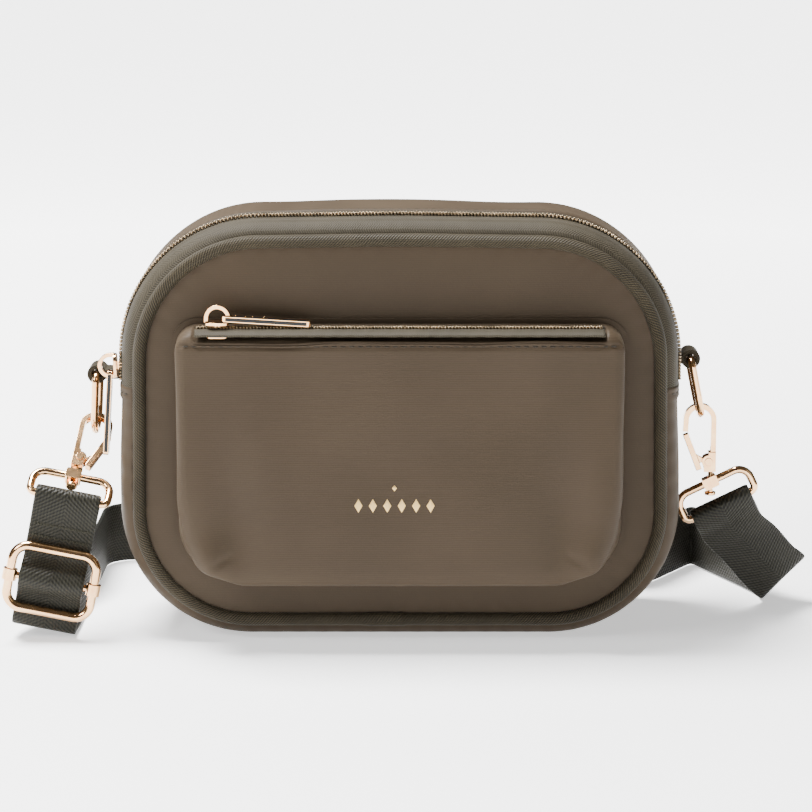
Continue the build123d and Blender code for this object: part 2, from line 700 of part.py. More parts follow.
def ribbon(sections):
    """Webbing that twists: a loft through its cross-section. Sections are (point, tangent, width direction)."""
    outlines = []
    for point, tangent, width in sections:
        across = Vector(*width).normalized()
        forward = Vector(*tangent)
        forward = (forward - across * forward.dot(across)).normalized()
        with BuildSketch(Plane(Vector(*point), x_dir=across, z_dir=forward)) as outline:
            Rectangle(STRAP_WIDTH, STRAP_THICK)
        outlines.append(outline.sketch)
    loft(outlines, ruled=True)


EDGE_Z = STRAP_WIDTH / 2 + STRAP_LIFT
LEFT_RUN_START = (-124.5, 32.0)
left_end = at(left_profile, *LEFT_DROP[-1])
left_width = left_profile.z_dir if left_profile.z_dir.X < 0 else left_profile.z_dir * -1
start_twist = degrees(atan2(left_width.Z, -left_width.X))
start_foot = left_end.X + STRAP_WIDTH / 2 * cos(radians(start_twist))
TWISTS = 6
curl_sections = [(tuple(left_end), (0, 1, 0), tuple(left_width))]
for i in range(1, TWISTS + 1):
    share = i / TWISTS
    twist = radians(start_twist + (90 - start_twist) * share)
    foot = start_foot + (LEFT_RUN_START[0] - start_foot) * share
    across = (-cos(twist), 0, sin(twist))
    middle = (
        foot - STRAP_WIDTH / 2 * cos(twist),
        left_end.Y + (LEFT_RUN_START[1] - 0.1 - left_end.Y) * share,
        STRAP_LIFT + STRAP_THICK / 2 * cos(twist) + STRAP_WIDTH / 2 * sin(twist),
    )
    curl_sections.append((middle, (0, 1, 0), across))
with BuildPart() as strap_left_curl:
    ribbon(curl_sections)
finish(strap_left_curl.part, "strap_left_curl")

# The length that isn't worn is folded to and fro behind the bag, standing on its edge.
FOLD_HALF = 82.0
FOLD_FIRST = 44.0
FOLD_PITCH = 11.0
FOLD_ROWS = 5
back_row = FOLD_FIRST + FOLD_PITCH * (FOLD_ROWS - 1)
RIGHT_RUN_END = (146.0, 33.0)
folds = [LEFT_RUN_START, (LEFT_RUN_START[0], back_row)]
for row in range(FOLD_ROWS - 1):
    end = FOLD_HALF if row % 2 == 0 else -FOLD_HALF
    y = back_row - row * FOLD_PITCH
    folds += [(end, y), (end, y - FOLD_PITCH)]
folds += [(98.0, FOLD_FIRST), (123.0, 82.0), RIGHT_RUN_END]
turn = FOLD_PITCH / 2 - 0.1
fold_radii = [12.0] + [turn] * (2 * (FOLD_ROWS - 1)) + [14.0, 5.0]
with BuildPart() as strap_fold:
    with BuildSketch(Plane.XY.offset(STRAP_LIFT)):
        with BuildLine() as fold_line:
            FilletPolyline(*folds, radius=fold_radii)
        trace(fold_line.line, line_width=STRAP_THICK)
    extrude(amount=STRAP_WIDTH)
finish(strap_fold.part, "strap_fold")
print("strap bends behind the bag:", [round(r, 2) for r in fold_radii])

right_profile = strap_profile_plane(right_loop_plane, "right")
RIGHT_END = [
    (-ply, -12.5),
    (-ply, -9.0),
    (-wrap, -3.0),
    (-wrap, wrap),
    (wrap, wrap),
    (wrap, -3.0),
    (ply, -9.0),
    (ply, -13.0),
]
RIGHT_RADII = [4, 4, wrap - 0.05, wrap - 0.05, 4, 4]
with BuildPart() as strap_right_end:
    webbing(right_profile, RIGHT_END, RIGHT_RADII)
finish(strap_right_end.part, "strap_right_end")
print("strap bends at the right end:", [round(r, 2) for r in RIGHT_RADII])

right_start = at(right_profile, *RIGHT_END[-1])
right_width = right_loop_plane.x_dir
with BuildPart() as strap_right_drop:
    ribbon([
        (tuple(right_start), tuple(right_profile.y_dir * -1), tuple(right_width)),
        ((138.9, 12.2, 27.4), (0.57, 0.42, -0.70), (0.81, -0.02, 0.58)),
        ((147.0, 17.4, 17.0), (0.57, 0.42, -0.70), (0.75, -0.02, 0.66)),
        ((153.0, 21.2, 11.0), (0.50, 0.50, -0.60), (0.72, -0.02, 0.69)),
        ((154.3, 23.6, 10.3), (-0.10, 1, -0.05), (0.68, -0.02, 0.73)),
        ((152.0, 26.4, 11.4), (-0.50, 0.85, 0.05), (0.50, 0.08, 0.86)),
        ((RIGHT_RUN_END[0] + 0.05, RIGHT_RUN_END[1] - 0.12, EDGE_Z), (-0.425, 0.905, 0), (0, 0, 1)),
    ])
finish(strap_right_drop.part, "strap_right_drop")

# ---- Strap adjuster -----------------------------------------------------------------------------

adjuster_centre = at(left_profile, over, -ADJUSTER_DROP)
adjuster_plane = Plane(adjuster_centre, x_dir=left_profile.z_dir, z_dir=left_profile.x_dir)
half_w, half_l = FRAME_WIDTH / 2, FRAME_LENGTH / 2
frame_corners = [(-half_w, -half_l), (half_w, -half_l), (half_w, half_l), (-half_w, half_l)]
with BuildPart() as adjuster_frame:
    with BuildLine(adjuster_plane) as frame_line:
        FilletPolyline(*frame_corners, radius=FRAME_CORNER, close=True)
    with BuildSketch(Plane(frame_line.line @ 0, z_dir=frame_line.line % 0)):
        Circle(FRAME_WIRE / 2)
    sweep(path=frame_line.line)
finish(adjuster_frame.part, "adjuster_frame")

with BuildPart() as adjuster_bar:
    with BuildSketch(Plane(adjuster_centre, z_dir=adjuster_plane.x_dir)):
        Circle(BAR_WIRE / 2)
    extrude(amount=half_w, both=True)
    for end in (-half_w, half_w):
        with BuildSketch(Plane(at(adjuster_plane, end, 0), z_dir=adjuster_plane.y_dir)):
            Circle(FRAME_WIRE / 2 + 1.0)
        extrude(amount=2.2, both=True)
    for end in (-half_w, half_w):
        with BuildSketch(Plane(at(adjuster_plane, end, 0), z_dir=adjuster_plane.y_dir)):
            Circle(FRAME_WIRE / 2 + 0.15)
        extrude(amount=4, both=True, mode=Mode.SUBTRACT)
finish(adjuster_bar.part, "adjuster_bar")
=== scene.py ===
# %% [markdown]
# # A crossbody purse
#
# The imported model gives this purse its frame: every ring, hook and slider is already where it belongs, and
# each cloth part is a plain solid of the right size. This lesson dresses that frame. The cloth parts are
# replaced by surfaces worked out from formulas, the metal gets rounded edges, and each material is made
# from nodes. Everything is in metres, with X along the bag, Y from its front to its back and Z up.

import json

import bmesh
import bpy
import numpy as np
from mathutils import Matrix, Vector


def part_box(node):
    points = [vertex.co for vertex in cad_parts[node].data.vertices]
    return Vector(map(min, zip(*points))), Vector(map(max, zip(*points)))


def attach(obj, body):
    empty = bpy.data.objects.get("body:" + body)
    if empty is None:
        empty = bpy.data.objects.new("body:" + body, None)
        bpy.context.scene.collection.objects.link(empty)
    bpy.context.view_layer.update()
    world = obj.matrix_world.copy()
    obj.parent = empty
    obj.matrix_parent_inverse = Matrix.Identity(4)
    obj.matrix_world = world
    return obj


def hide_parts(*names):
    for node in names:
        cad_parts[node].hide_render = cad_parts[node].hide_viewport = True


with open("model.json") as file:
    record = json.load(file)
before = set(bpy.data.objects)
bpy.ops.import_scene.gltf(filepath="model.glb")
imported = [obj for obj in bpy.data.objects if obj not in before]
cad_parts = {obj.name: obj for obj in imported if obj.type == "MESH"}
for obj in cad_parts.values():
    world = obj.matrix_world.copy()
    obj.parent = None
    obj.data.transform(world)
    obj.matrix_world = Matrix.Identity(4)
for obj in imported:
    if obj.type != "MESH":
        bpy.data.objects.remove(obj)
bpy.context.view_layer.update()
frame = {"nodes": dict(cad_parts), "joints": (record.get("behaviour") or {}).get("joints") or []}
MM = 0.001
TAU = 2 * np.pi

# %% [markdown]
# ## Surfaces from arrays
#
# A sewn bag is made of sheets, and a sheet is a grid: one direction along the cloth, one across it. Its
# points are worked out in one array, which says in one formula what the shape is. The last helper turns
# the grid into a mesh with a UV map in metres, so that a weave can later follow the cloth.


# %% A grid of points becomes a mesh
def grid(*ways):
    """Each of the ways, spread over the grid that they make."""
    return np.meshgrid(*ways, indexing="ij")


def stack(*parts):
    """Points or vectors from their parts, each part spread to the shape of the largest."""
    return np.stack(np.broadcast_arrays(*parts), axis=-1)


def grid_mesh(name, points, uv, closed=(False, False), flip=False):
    """A mesh over points[i, j]. A closed direction joins its last row to its first, and uv has one row more
    there. Face (i, j) faces i's way cross j's way, or the other way when flipped.
    """
    rows, columns = points.shape[:2]
    last_row, last_column = rows - (not closed[0]), columns - (not closed[1])
    i, j = grid(np.arange(last_row), np.arange(last_column))
    corner_i = stack(i, i + 1, i + 1, i).reshape(-1, 4)
    corner_j = stack(j, j, j + 1, j + 1).reshape(-1, 4)
    if flip:
        corner_i, corner_j = corner_i[:, ::-1], corner_j[:, ::-1]
    faces = (corner_i % rows) * columns + corner_j % columns
    mesh = bpy.data.meshes.new(name)
    mesh.from_pydata(points.reshape(-1, 3).tolist(), [], faces.tolist())
    layer = mesh.uv_layers.new(name="cloth")
    layer.data.foreach_set("uv", uv[corner_i.ravel(), corner_j.ravel()].ravel())
    mesh.shade_smooth()
    return add_object(name, mesh)


def add_object(name, mesh):
    """An object at the origin that shows the mesh."""
    piece = bpy.data.objects.new(name, mesh)
    bpy.context.scene.collection.objects.link(piece)
    return piece


# %% [markdown]
# ## Each piece has a body and a finish
#
# One function gives a piece the body that it moves with, the plain solids that it replaces and its material.


# %% Dress a piece
def dress(piece, finish, slot, body="bag", stands_for=()):
    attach(piece, body)
    if stands_for:
        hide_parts(*stands_for)
    piece.data.materials.clear()
    piece.data.materials.append(finish)
    print(f"{piece.name}: {len(piece.data.polygons)} faces of {finish.name}")
    return piece


def thicken(piece, thickness):
    """Gives a sheet its thickness, inwards from the face that shows."""
    wall = piece.modifiers.new("thickness", "SOLIDIFY")
    wall.thickness = thickness
    wall.offset = -1
    return piece


# %% [markdown]
# ## Shader sums
#
# Every weave is a sum of waves and noises, and is written as one. A Wire is one output in a material's node
# tree, and a sum with it adds a Math node and gives back its output. Finish.node adds every other node.


# %% Wires and finishes
class Wire:
    """One output of a node, which can be used in sums."""

    def __init__(self, tree, socket):
        self.tree = tree
        self.socket = socket

    def math(self, operation, *others):
        """A Math node on this and the others, which are Wires or numbers."""
        node = self.tree.nodes.new("ShaderNodeMath")
        node.operation = operation
        for slot, value in zip(node.inputs, (self, *others)):
            join(self.tree, slot, value)
        return Wire(self.tree, node.outputs[0])

    def __add__(self, other):
        return self.math("ADD", other)

    def __sub__(self, other):
        return self.math("SUBTRACT", other)

    def __rsub__(self, other):
        return self * -1 + other

    def __mul__(self, other):
        return self.math("MULTIPLY", other)

    __radd__, __rmul__ = __add__, __mul__

    def wave(self, length):
        """A wave from 0 to 1 that repeats after that length."""
        return (self * (TAU / length)).math("SINE") * 0.5 + 0.5

    def bounds(self, low, high):
        """0 below low, 1 above high, and a straight slope between."""
        return ((self - low) * (1 / (high - low))).math("MAXIMUM", 0.0).math("MINIMUM", 1.0)


def join(tree, slot, value):
    """Links a Wire to a socket, or sets the socket to a value."""
    if isinstance(value, Wire):
        tree.links.new(value.socket, slot)
    else:
        slot.default_value = value


MIX_LOW, MIX_HIGH, MIX_RESULT = 6, 7, 2  # a Mix node's colour sockets, which share names with its others


class Finish:
    """A material with one Principled BSDF, and methods that add the nodes its sockets read."""

    def __init__(self, name, **sockets):
        self.material = bpy.data.materials.new(name)
        self.material.use_nodes = True
        self.tree = self.material.node_tree
        self.shader = self.tree.nodes["Principled BSDF"]
        for socket, value in sockets.items():
            self.set(socket, value)

    def set(self, socket, value):
        """Feeds one of the shader's sockets, whose name is written with underscores."""
        title = socket.replace("_", " ").title().replace("Ior", "IOR")
        join(self.tree, self.shader.inputs[title], value)

    def node(self, kind, settings=(), sockets=(), outputs=(0,)):
        """Adds a node: first its settings, then its sockets' values or links. Gives its outputs' Wires."""
        node = self.tree.nodes.new("ShaderNode" + kind)
        for key, value in dict(settings).items():
            setattr(node, key, value)
        for key, value in dict(sockets).items():
            join(self.tree, node.inputs[key], value)
        return [Wire(self.tree, node.outputs[key]) for key in outputs]

    def place(self, source="Object"):
        """The place on the piece in millimetres, as a vector and as its three parts."""
        (whole,) = self.node("TexCoord", outputs=[source])
        (vector,) = self.node("VectorMath", {"operation": "SCALE"}, {"Vector": whole, "Scale": 1 / MM})
        return vector, *self.node("SeparateXYZ", sockets={"Vector": vector}, outputs="XYZ")

    def noise(self, vector, size, detail=3.0):
        """Noise from 0 to 1 with patches about that many millimetres across."""
        return self.node("TexNoise", sockets={"Vector": vector, "Scale": 1 / size, "Detail": detail})[0]

    def blend(self, factor, low, high):
        """A colour between two, by a factor from 0 to 1."""
        sockets = {"Factor": factor, MIX_LOW: (*low, 1), MIX_HIGH: (*high, 1)}
        return self.node("Mix", {"data_type": "RGBA"}, sockets, [MIX_RESULT])[0]

    def relief(self, height, depth):
        """Bump whose full height is depth in millimetres."""
        sockets = {"Strength": 1, "Distance": depth * MM, "Height": height}
        self.set("Normal", self.node("Bump", sockets=sockets)[0])


# %% [markdown]
# ## The cloth of the bag
#
# Neoprene is foam between two skins of fine knit. Its colour hardly changes, its gloss is a low satin, and
# its knit shows as the faintest grain. On the pocket the knit lies as level ribs under a millimetre apart,
# which catch the light like corded silk.

# %% Neoprene, plain and ribbed
TAUPE_DARK = (0.036, 0.0250, 0.0152)
TAUPE_LIGHT = (0.051, 0.0360, 0.0222)


def neoprene(name, rib, rib_depth):
    """Knit with ribs that far apart; rib_depth is the ribs' share of the relief, and grain has the rest."""
    cloth = Finish(name, sheen_weight=0.04, sheen_roughness=0.4, specular_ior_level=0.12)
    cloth.set("Sheen_Tint", (0.75, 0.62, 0.45, 1))
    where, _, _, z = cloth.place()
    clouds = cloth.noise(where, 45.0, detail=2.0)
    grain = cloth.noise(where, 0.55, detail=2.0)
    ribs = (z + cloth.noise(where, 30.0, detail=1.0) * 0.8).wave(rib)
    shade = clouds * 0.6 + grain * 0.25 + ribs * 0.15
    cloth.set("Base_Color", cloth.blend(shade.bounds(0.25, 0.75), TAUPE_DARK, TAUPE_LIGHT))
    cloth.set("Roughness", clouds * 0.12 + grain * 0.10 + 0.44)
    cloth.relief(grain * (1 - rib_depth) + ribs * rib_depth, 0.045)
    return cloth.material


plain_neoprene = neoprene("smooth neoprene", rib=0.7, rib_depth=0.25)
ribbed_neoprene = neoprene("ribbed neoprene", rib=0.85, rib_depth=0.5)
print("made", plain_neoprene.name, "and", ribbed_neoprene.name)

# %% [markdown]
# ## Twill, tape and webbing
#
# These three are woven, and each shows its weave. Twill's ridges run slantwise, a zip's tape is a fine
# herringbone, and webbing is a bold one: bands of slanting ridges that lean left and right by turns. A
# slant is the place along plus or minus the place across, and the sign changes from band to band. Cloth
# made here reads the UV map, in metres across and along it; the frame's own parts have none, and read the
# place on the piece.


# %% Weaves
def woven(name, low, high, pitch, band, roughness, depth, slant=1.0, warp=0.12, source="UV"):
    """Cloth whose ridges slant, turning over from one band to the next; band 0 never turns over."""
    cloth = Finish(name, sheen_weight=0.03, sheen_roughness=0.5, specular_ior_level=0.14)
    where, across, length, up = cloth.place(source)
    if source == "Object":
        across, length = across + up, length + up * 0.4
    lean = (across * (1 / band)).math("PINGPONG", 1.0) * band if band else across
    ridges = (length + lean * slant).wave(pitch)
    threads = across.wave(pitch * 0.8)
    fuzz = cloth.noise(where, pitch * 0.5, detail=2.0)
    wear = cloth.noise(where, 18.0, detail=2.0)
    height = ridges * (0.82 - warp) + threads * warp + fuzz * 0.18
    cloth.set("Base_Color", cloth.blend((height * 0.8 + wear * 0.3).bounds(0.2, 0.95), low, high))
    cloth.set("Roughness", fuzz * 0.15 + roughness)
    cloth.relief(height, depth)
    return cloth.material


TWILL = (0.0018, 0.0014, 0.0008), (0.060, 0.047, 0.026)
TAPE = (0.013, 0.0105, 0.006), (0.055, 0.045, 0.028)
WEBBING = (0.0025, 0.0024, 0.0015), (0.028, 0.026, 0.0175)
LINING = (0.05, 0.042, 0.032), (0.12, 0.10, 0.075)
THREAD = (0.012, 0.010, 0.007), (0.045, 0.037, 0.026)
WEBBING_THREAD = (0.010, 0.009, 0.006), (0.05, 0.047, 0.03)
twill = woven("ribbed twill", *TWILL, 1.15, 0, 0.5, 0.30, slant=0.8, warp=0.2)
tab_twill = woven("tab twill", *TWILL, 0.9, 0, 0.5, 0.16, slant=0.8, warp=0.25, source="Object")
tape_cloth = woven("herringbone tape", *TAPE, 0.9, 1.6, 0.55, 0.14)
webbing = woven("chevron webbing", *WEBBING, 1.5, 12.5, 0.4, 0.26, slant=0.7, warp=0.3)
lining_cloth = woven("plain lining", *LINING, 0.7, 0, 0.7, 0.05, source="Object")
thread = woven("sewing thread", *THREAD, 0.45, 0, 0.5, 0.05, slant=0.6)
webbing_thread = woven("webbing thread", *WEBBING_THREAD, 0.45, 0, 0.5, 0.05, slant=0.6)
print("materials with the weaves:", len(bpy.data.materials))

# %% [markdown]
# ## Metal
#
# The hardware is zinc with a thin pale gold plate, polished and lacquered. Its roughness carries smears and
# hair-fine scratches, and its colour is a touch redder where fingers have worn it. The zip's teeth are the
# same gilt, darkened by the tape's dye.


# %% Gilt, enamel and steel
def metal(name, low, high, roughness, depth=0.01):
    """Lacquered metal with smears a few millimetres across and hair-fine scratches."""
    plate = Finish(name, metallic=1.0, coat_weight=0.25, coat_roughness=0.08)
    where = plate.place()[0]
    smears = plate.noise(where, 6.0, detail=3.0)
    scratches = plate.noise(where, 0.35, detail=4.0)
    wear = (smears * 0.8 + scratches * 0.2).bounds(0.3, 0.7)
    plate.set("Base_Color", plate.blend(wear, low, high))
    plate.set("Roughness", smears * 0.10 + scratches * 0.06 + roughness)
    plate.relief(scratches, depth)
    return plate.material


gilt = metal("polished pale gilt", (0.74, 0.41, 0.18), (0.92, 0.58, 0.30), 0.06)
foil = metal("pressed foil", (0.50, 0.33, 0.12), (0.68, 0.47, 0.20), 0.34, depth=0.04)
teeth_metal = metal("darkened teeth", (0.10, 0.075, 0.045), (0.42, 0.31, 0.19), 0.24)
steel = metal("spring steel", (0.45, 0.45, 0.46), (0.62, 0.62, 0.63), 0.25)
paint = Finish("dark enamel", specular_ior_level=0.15, coat_weight=0.12, coat_roughness=0.1)
paint_place = paint.place()[0]
clouds = paint.noise(paint_place, 5.0)
paint.set("Base_Color", paint.blend(clouds, (0.004, 0.0035, 0.003), (0.012, 0.010, 0.008)))
paint.set("Roughness", paint.noise(paint_place, 0.6) * 0.12 + 0.16)
enamel = paint.material
print("and with the metals:", len(bpy.data.materials))

# %% [markdown]
# ## The camera
#
# The purse is looked at from in front and a little above, through a long lens, as catalogues show bags. The
# camera comes before the pieces because the strap is only folded up where the camera can't see it.

# %% Camera
AIM = Vector((2.3, 0, 85.5)) * MM
DISTANCE = 1100 * MM
ELEVATION = np.radians(11.8)
LENS = 125.2
camera = bpy.data.objects.new("camera", bpy.data.cameras.new("camera"))
bpy.context.scene.collection.objects.link(camera)
camera.location = AIM + Vector((0, -np.cos(ELEVATION), np.sin(ELEVATION))) * DISTANCE
camera.rotation_euler = (np.pi / 2 - ELEVATION, 0, 0)
camera.data.lens = LENS
camera.data.clip_start = 0.05
camera.data.clip_end = 20
bpy.context.scene.camera = camera
print("camera at", [round(v, 3) for v in camera.location])

# %% [markdown]
# ## The strap's route
#
# The strap is one length of 25 mm webbing. Its left end is sewn round the swivel loop's lower bar. From
# there it goes down behind the adjuster's frame, over its middle bar, and turns on the floor. It rises onto
# its edge, is folded to and fro behind the bag, comes round on the right, folds over at a slant and climbs
# to the right loop. A limp flat thing like this is a ribbon: a smooth line, with a direction across it at
# each point. Both are listed at a few places, and a NURBS spline rounds them off.

# %% Places on the two ends of the strap
joint_at = {joint["name"]: np.array(joint["pos_m"]) / MM for joint in frame["joints"] if "pos_m" in joint}
LEFT_BAR = joint_at["swivel_loop_left_tilt"]
LEFT_UP = np.array([0.1991, 0.0523, 0.9786])
LEFT_FRONT = np.array([0.0104, -0.9986, 0.0513])
LEFT_ACROSS = np.array([-0.98, 0, 0.199])
RIGHT_BAR = joint_at["swivel_loop_right_tilt"]
RIGHT_UP = np.array([-0.3973, -0.4226, 0.8146])
RIGHT_FRONT = np.array([0.1852, -0.9063, -0.3798])
RIGHT_ACROSS = np.array([0.8988, 0, 0.4384])
WRAP = 2.55  # from a bar's middle to the middle of the webbing round it
PLY = 0.8  # half of two layers of webbing
ADJUSTER_DROP = 32.5  # from the loop's bar down to the adjuster's
FLOOR_TURN = 52.3  # from the loop's bar down to the turn on the floor
STRAP_WIDTH = 25
STRAP_THICK = 1.45


def left(forward, height):
    """A point that far in front of the left loop's lower bar, and that far up the webbing from it."""
    return tuple(LEFT_BAR + LEFT_FRONT * forward + LEFT_UP * height)


def right(forward, height):
    """The same at the right loop."""
    return tuple(RIGHT_BAR + RIGHT_FRONT * forward + RIGHT_UP * height)


# %% The route, from the left end to the right
left_end = [(-0.85, -17), (-0.85, -11), (-WRAP, -3.5), (-WRAP, WRAP), (WRAP, WRAP), (WRAP, -3.5)]
left_end += [(0.75, -11), (0.75, -22), (0.75, 7 - ADJUSTER_DROP), (5.95, 2.2 - ADJUSTER_DROP)]
left_end += [(5.95, -2.2 - ADJUSTER_DROP), (0.75, -7 - ADJUSTER_DROP)]
left_end += [(0.75, -FLOOR_TURN), (-7.25, 0.4 - FLOOR_TURN)]
route = [(left(*p), LEFT_ACROSS) for p in left_end]

ON_EDGE = (0, 0, 1)
EDGE_Z = 12.8  # the height of the webbing's middle where it stands on edge
route += [((-134.9, -3.8, 8.5), (-0.79, 0, 0.61)), ((-130.3, 14.0, 11.85), (-0.44, 0, 0.90))]
route += [((-125.2, 32.0, EDGE_Z), ON_EDGE), ((-124.5, 60.0, EDGE_Z), ON_EDGE)]

FOLD_HALF = 82
FOLD_PITCH = 11
FOLD_ROWS = [88, 77, 66, 55]
folds = [(-124.5, 88), (-96, 88)]
for row, y in enumerate(FOLD_ROWS):
    end = FOLD_HALF if row % 2 == 0 else -FOLD_HALF
    near = end - np.sign(end) * FOLD_PITCH
    folds += [(near, y), (end, y), (end, y - FOLD_PITCH), (near, y - FOLD_PITCH)]
folds += [(86, 44), (98, 44), (118.9, 75.8), (123, 82), (126.3, 75.0), (146.0, 33.0)]
route += [((x, y, EDGE_Z), ON_EDGE) for x, y in folds]

route += [((152.0, 26.4, 11.4), (0.5, 0.08, 0.86)), ((154.3, 23.6, 10.3), (0.68, -0.02, 0.73))]
route += [((153.0, 21.2, 11.0), (0.72, -0.02, 0.69)), ((147.0, 17.4, 17.0), (0.75, -0.02, 0.66))]
route += [((138.9, 12.2, 27.4), (0.81, -0.02, 0.58))]
right_end = [(PLY, -13), (PLY, -9), (WRAP, -3), (WRAP, WRAP)]
right_end += [(-WRAP, WRAP), (-WRAP, -3), (-PLY, -9), (-PLY, -12.5)]
route += [(right(*p), RIGHT_ACROSS) for p in right_end]
print(len(route), "points on the strap's route")


# %% A smooth line through a route
def smooth_line(points):
    """The points along a NURBS spline of order 3 that starts and ends where the route does."""
    curve = bpy.data.curves.new("route", "CURVE")
    curve.dimensions = "3D"
    curve.resolution_u = 10
    spline = curve.splines.new("NURBS")
    spline.points.add(len(points) - 1)
    spline.points.foreach_set("co", np.hstack([points * MM, np.ones((len(points), 1))]).ravel())
    spline.order_u = 3
    spline.use_endpoint_u = True
    holder = bpy.data.objects.new("route", curve)
    mesh = bpy.data.meshes.new_from_object(holder)
    line = np.empty(len(mesh.vertices) * 3)
    mesh.vertices.foreach_get("co", line)
    bpy.data.objects.remove(holder)
    bpy.data.curves.remove(curve)
    bpy.data.meshes.remove(mesh)
    return line.reshape(-1, 3)


# %% The ribbon along it
def along(line):
    """How far along a line each of its points is."""
    return np.concatenate([[0], np.cumsum(np.linalg.norm(np.diff(line, axis=0), axis=1))])


def follow(at, far, values):
    """The values at some distances along a line, where they are known at the distances far."""
    return stack(*(np.interp(at, far, column) for column in values.T))


def unit(vectors):
    """The vectors, each divided by its own length."""
    return vectors / np.maximum(np.linalg.norm(vectors, axis=-1, keepdims=True), 1e-12)


def squared(wave, power):
    """A wave raised to a power below 1, its sign kept, so that a circle becomes a rounded square."""
    return np.sign(wave) * np.abs(wave) ** power


def ribbon(name, line, across, width, thickness):
    """A flat band with round selvedges. Round its section the place across is half the width times cos to
    the power 0.45. The thickness is full times the square root of 1 minus the share across to the power 26.
    """
    across = unit(across)
    facing = unit(np.cross(np.gradient(line, axis=0), across))
    turn = np.linspace(0, TAU, 41)[:-1]
    flat = squared(np.cos(turn), 0.45) * width / 2
    round_edge = np.clip(1 - (np.abs(flat) / (width / 2)) ** 26, 0, 1) ** 0.5
    thick = np.where(np.sin(turn) >= 0, 1, -1) * round_edge * thickness / 2
    points = line[None] + across[None] * flat[:, None, None] + facing[None] * thick[:, None, None]
    u = np.append(flat, flat[0]) + width / 2
    uv = stack(*grid(u, along(line)))
    return grid_mesh(name, points, uv, closed=(True, False))


places = np.array([p for p, _ in route], float)
directions = np.array([unit(np.array(a, float)) for _, a in route])
strap_line = smooth_line(places)
strap_edge = smooth_line(places + directions * STRAP_WIDTH / 2)
strap = ribbon("strap_webbing", strap_line, strap_edge - strap_line, STRAP_WIDTH * MM, STRAP_THICK * MM)
STRAP_NODES = [f"strap_{part}" for part in ("left_drop", "left_curl", "fold", "right_drop", "right_end")]
dress(strap, webbing, "webbing", stands_for=STRAP_NODES)
print("strap length", round(float(along(strap_line)[-1]), 3), "m")

# %% [markdown]
# ## The bag's outline
#
# Seen from the front the bag is a rectangle with large round corners and a top that rises slightly in the
# middle. All of its cloth follows that one outline, so it is worked out once, with the direction straight
# out of the bag at each point, and every later surface is the outline moved outwards and backwards.

# %% Outline of straight edges and arcs
PANEL = [(-100, 8.5), (100, 8.5), (97.5, 154), (0, 155.5), (-97.5, 154)]
PANEL_RADII = [42, 42, 46, 600, 46]


def rounded(corners, radii, step=0.4):
    """Evenly spaced points round a convex polygon, listed anticlockwise, from its first edge's middle. Each
    corner is an arc, which starts and ends the radius times the tangent of half the turn away from it.
    """
    corners = np.array(corners, float)
    before = unit(corners - np.roll(corners, 1, axis=0))
    after = unit(np.roll(corners, -1, axis=0) - corners)
    turn = np.arccos(np.clip((before * after).sum(1), -1, 1))
    cut = np.array(radii) * np.tan(turn / 2)
    inwards = stack(-before[:, 1], before[:, 0])
    centres = corners - before * cut[:, None] + inwards * np.array(radii)[:, None]
    start = np.arctan2(-inwards[:, 1], -inwards[:, 0])
    arcs = []
    for centre, radius, a, t in zip(centres, radii, start, turn):
        angles = a + np.linspace(0, t, max(4, int(radius * t / step)))
        arcs.append(centre + radius * stack(np.cos(angles), np.sin(angles)))
    line = np.concatenate([*arcs[1:], arcs[0]])
    middle = (line[0] + line[-1]) / 2
    line = np.concatenate([[middle], line, [middle]])
    far = along(line)
    spaced = np.linspace(0, far[-1], int(far[-1] / step) + 1)
    return follow(spaced, far, line)


class Outline:
    """A closed line in the XZ plane that gives its place and outward direction at any distance."""

    def __init__(self, corners, radii):
        self.line = rounded(corners, radii)
        self.far = along(self.line)
        self.length = self.far[-1]
        tangent = unit(np.gradient(self.line, axis=0))
        tangent[0] = tangent[-1] = unit(tangent[0] + tangent[-1])
        self.out = stack(tangent[:, 1], -tangent[:, 0])

    def at(self, distance, grow=0.0):
        """Points that far round, moved outwards by grow."""
        d = np.mod(distance, self.length)
        out = unit(follow(d, self.far, self.out))
        return follow(d, self.far, self.line) + out * np.asarray(grow)[..., None], out

    def side(self, z, sign):
        """How far round the outline's side is at height z, on the right for sign 1 and the left for -1."""
        x, height = self.line.T
        on_side = (x * sign > 0.9 * np.abs(x).max()) & (np.abs(height - z) < 8)
        height, far = height[on_side], self.far[on_side]
        order = np.argsort(height)
        return float(np.interp(z, height[order], far[order]))


bag = Outline(PANEL, PANEL_RADII)
print("the bag's seam is", round(bag.length), "mm round")


def straight(value, count):
    """One point or direction, that many times."""
    return np.tile(np.array(value, float), (count, 1))


def shell(outline, distance, y, grow):
    """Points outside an outline: distance, y and grow are arrays of one shape, in millimetres."""
    place, _ = outline.at(distance, grow)
    return stack(place[..., 0], y, place[..., 1]) * MM


# %% [markdown]
# ## Soft variation
#
# Cloth is never quite even. A few sine waves with unrelated lengths, added together, make a slow wobble
# that is the same on every run, and a short ripple along a seam is the cloth gathered by its stitches.


# %% Wobble and puckers
def wobble(a, b, size):
    """A smooth uneven height between about -1 and 1, from four waves across the sheet's two directions."""
    a, b = np.asarray(a) / size * TAU, np.asarray(b) / size * TAU
    waves = np.sin(a + 0.7 * b + 1.3) + np.sin(0.43 * a - 0.9 * b + 4.1)
    return (waves + np.sin(1.9 * a + 0.3 * b + 2.2) * 0.5 + np.sin(-0.8 * a + 1.7 * b) * 0.5) / 3


def puckers(distance, from_seam, pitch=8.5, reach=3.5):
    """Ripples along a seam, an uneven pitch apart, that die away with the distance from it."""
    ripple = np.cos(distance / pitch * TAU + 2.2 * np.sin(distance / 37))
    return ripple * bell(from_seam, reach)


def bell(x, width, power=2):
    """e to the power minus x over the width, raised to the power: 1 at x = 0, and nearly 0 beyond."""
    return np.exp(-((x / width) ** power))


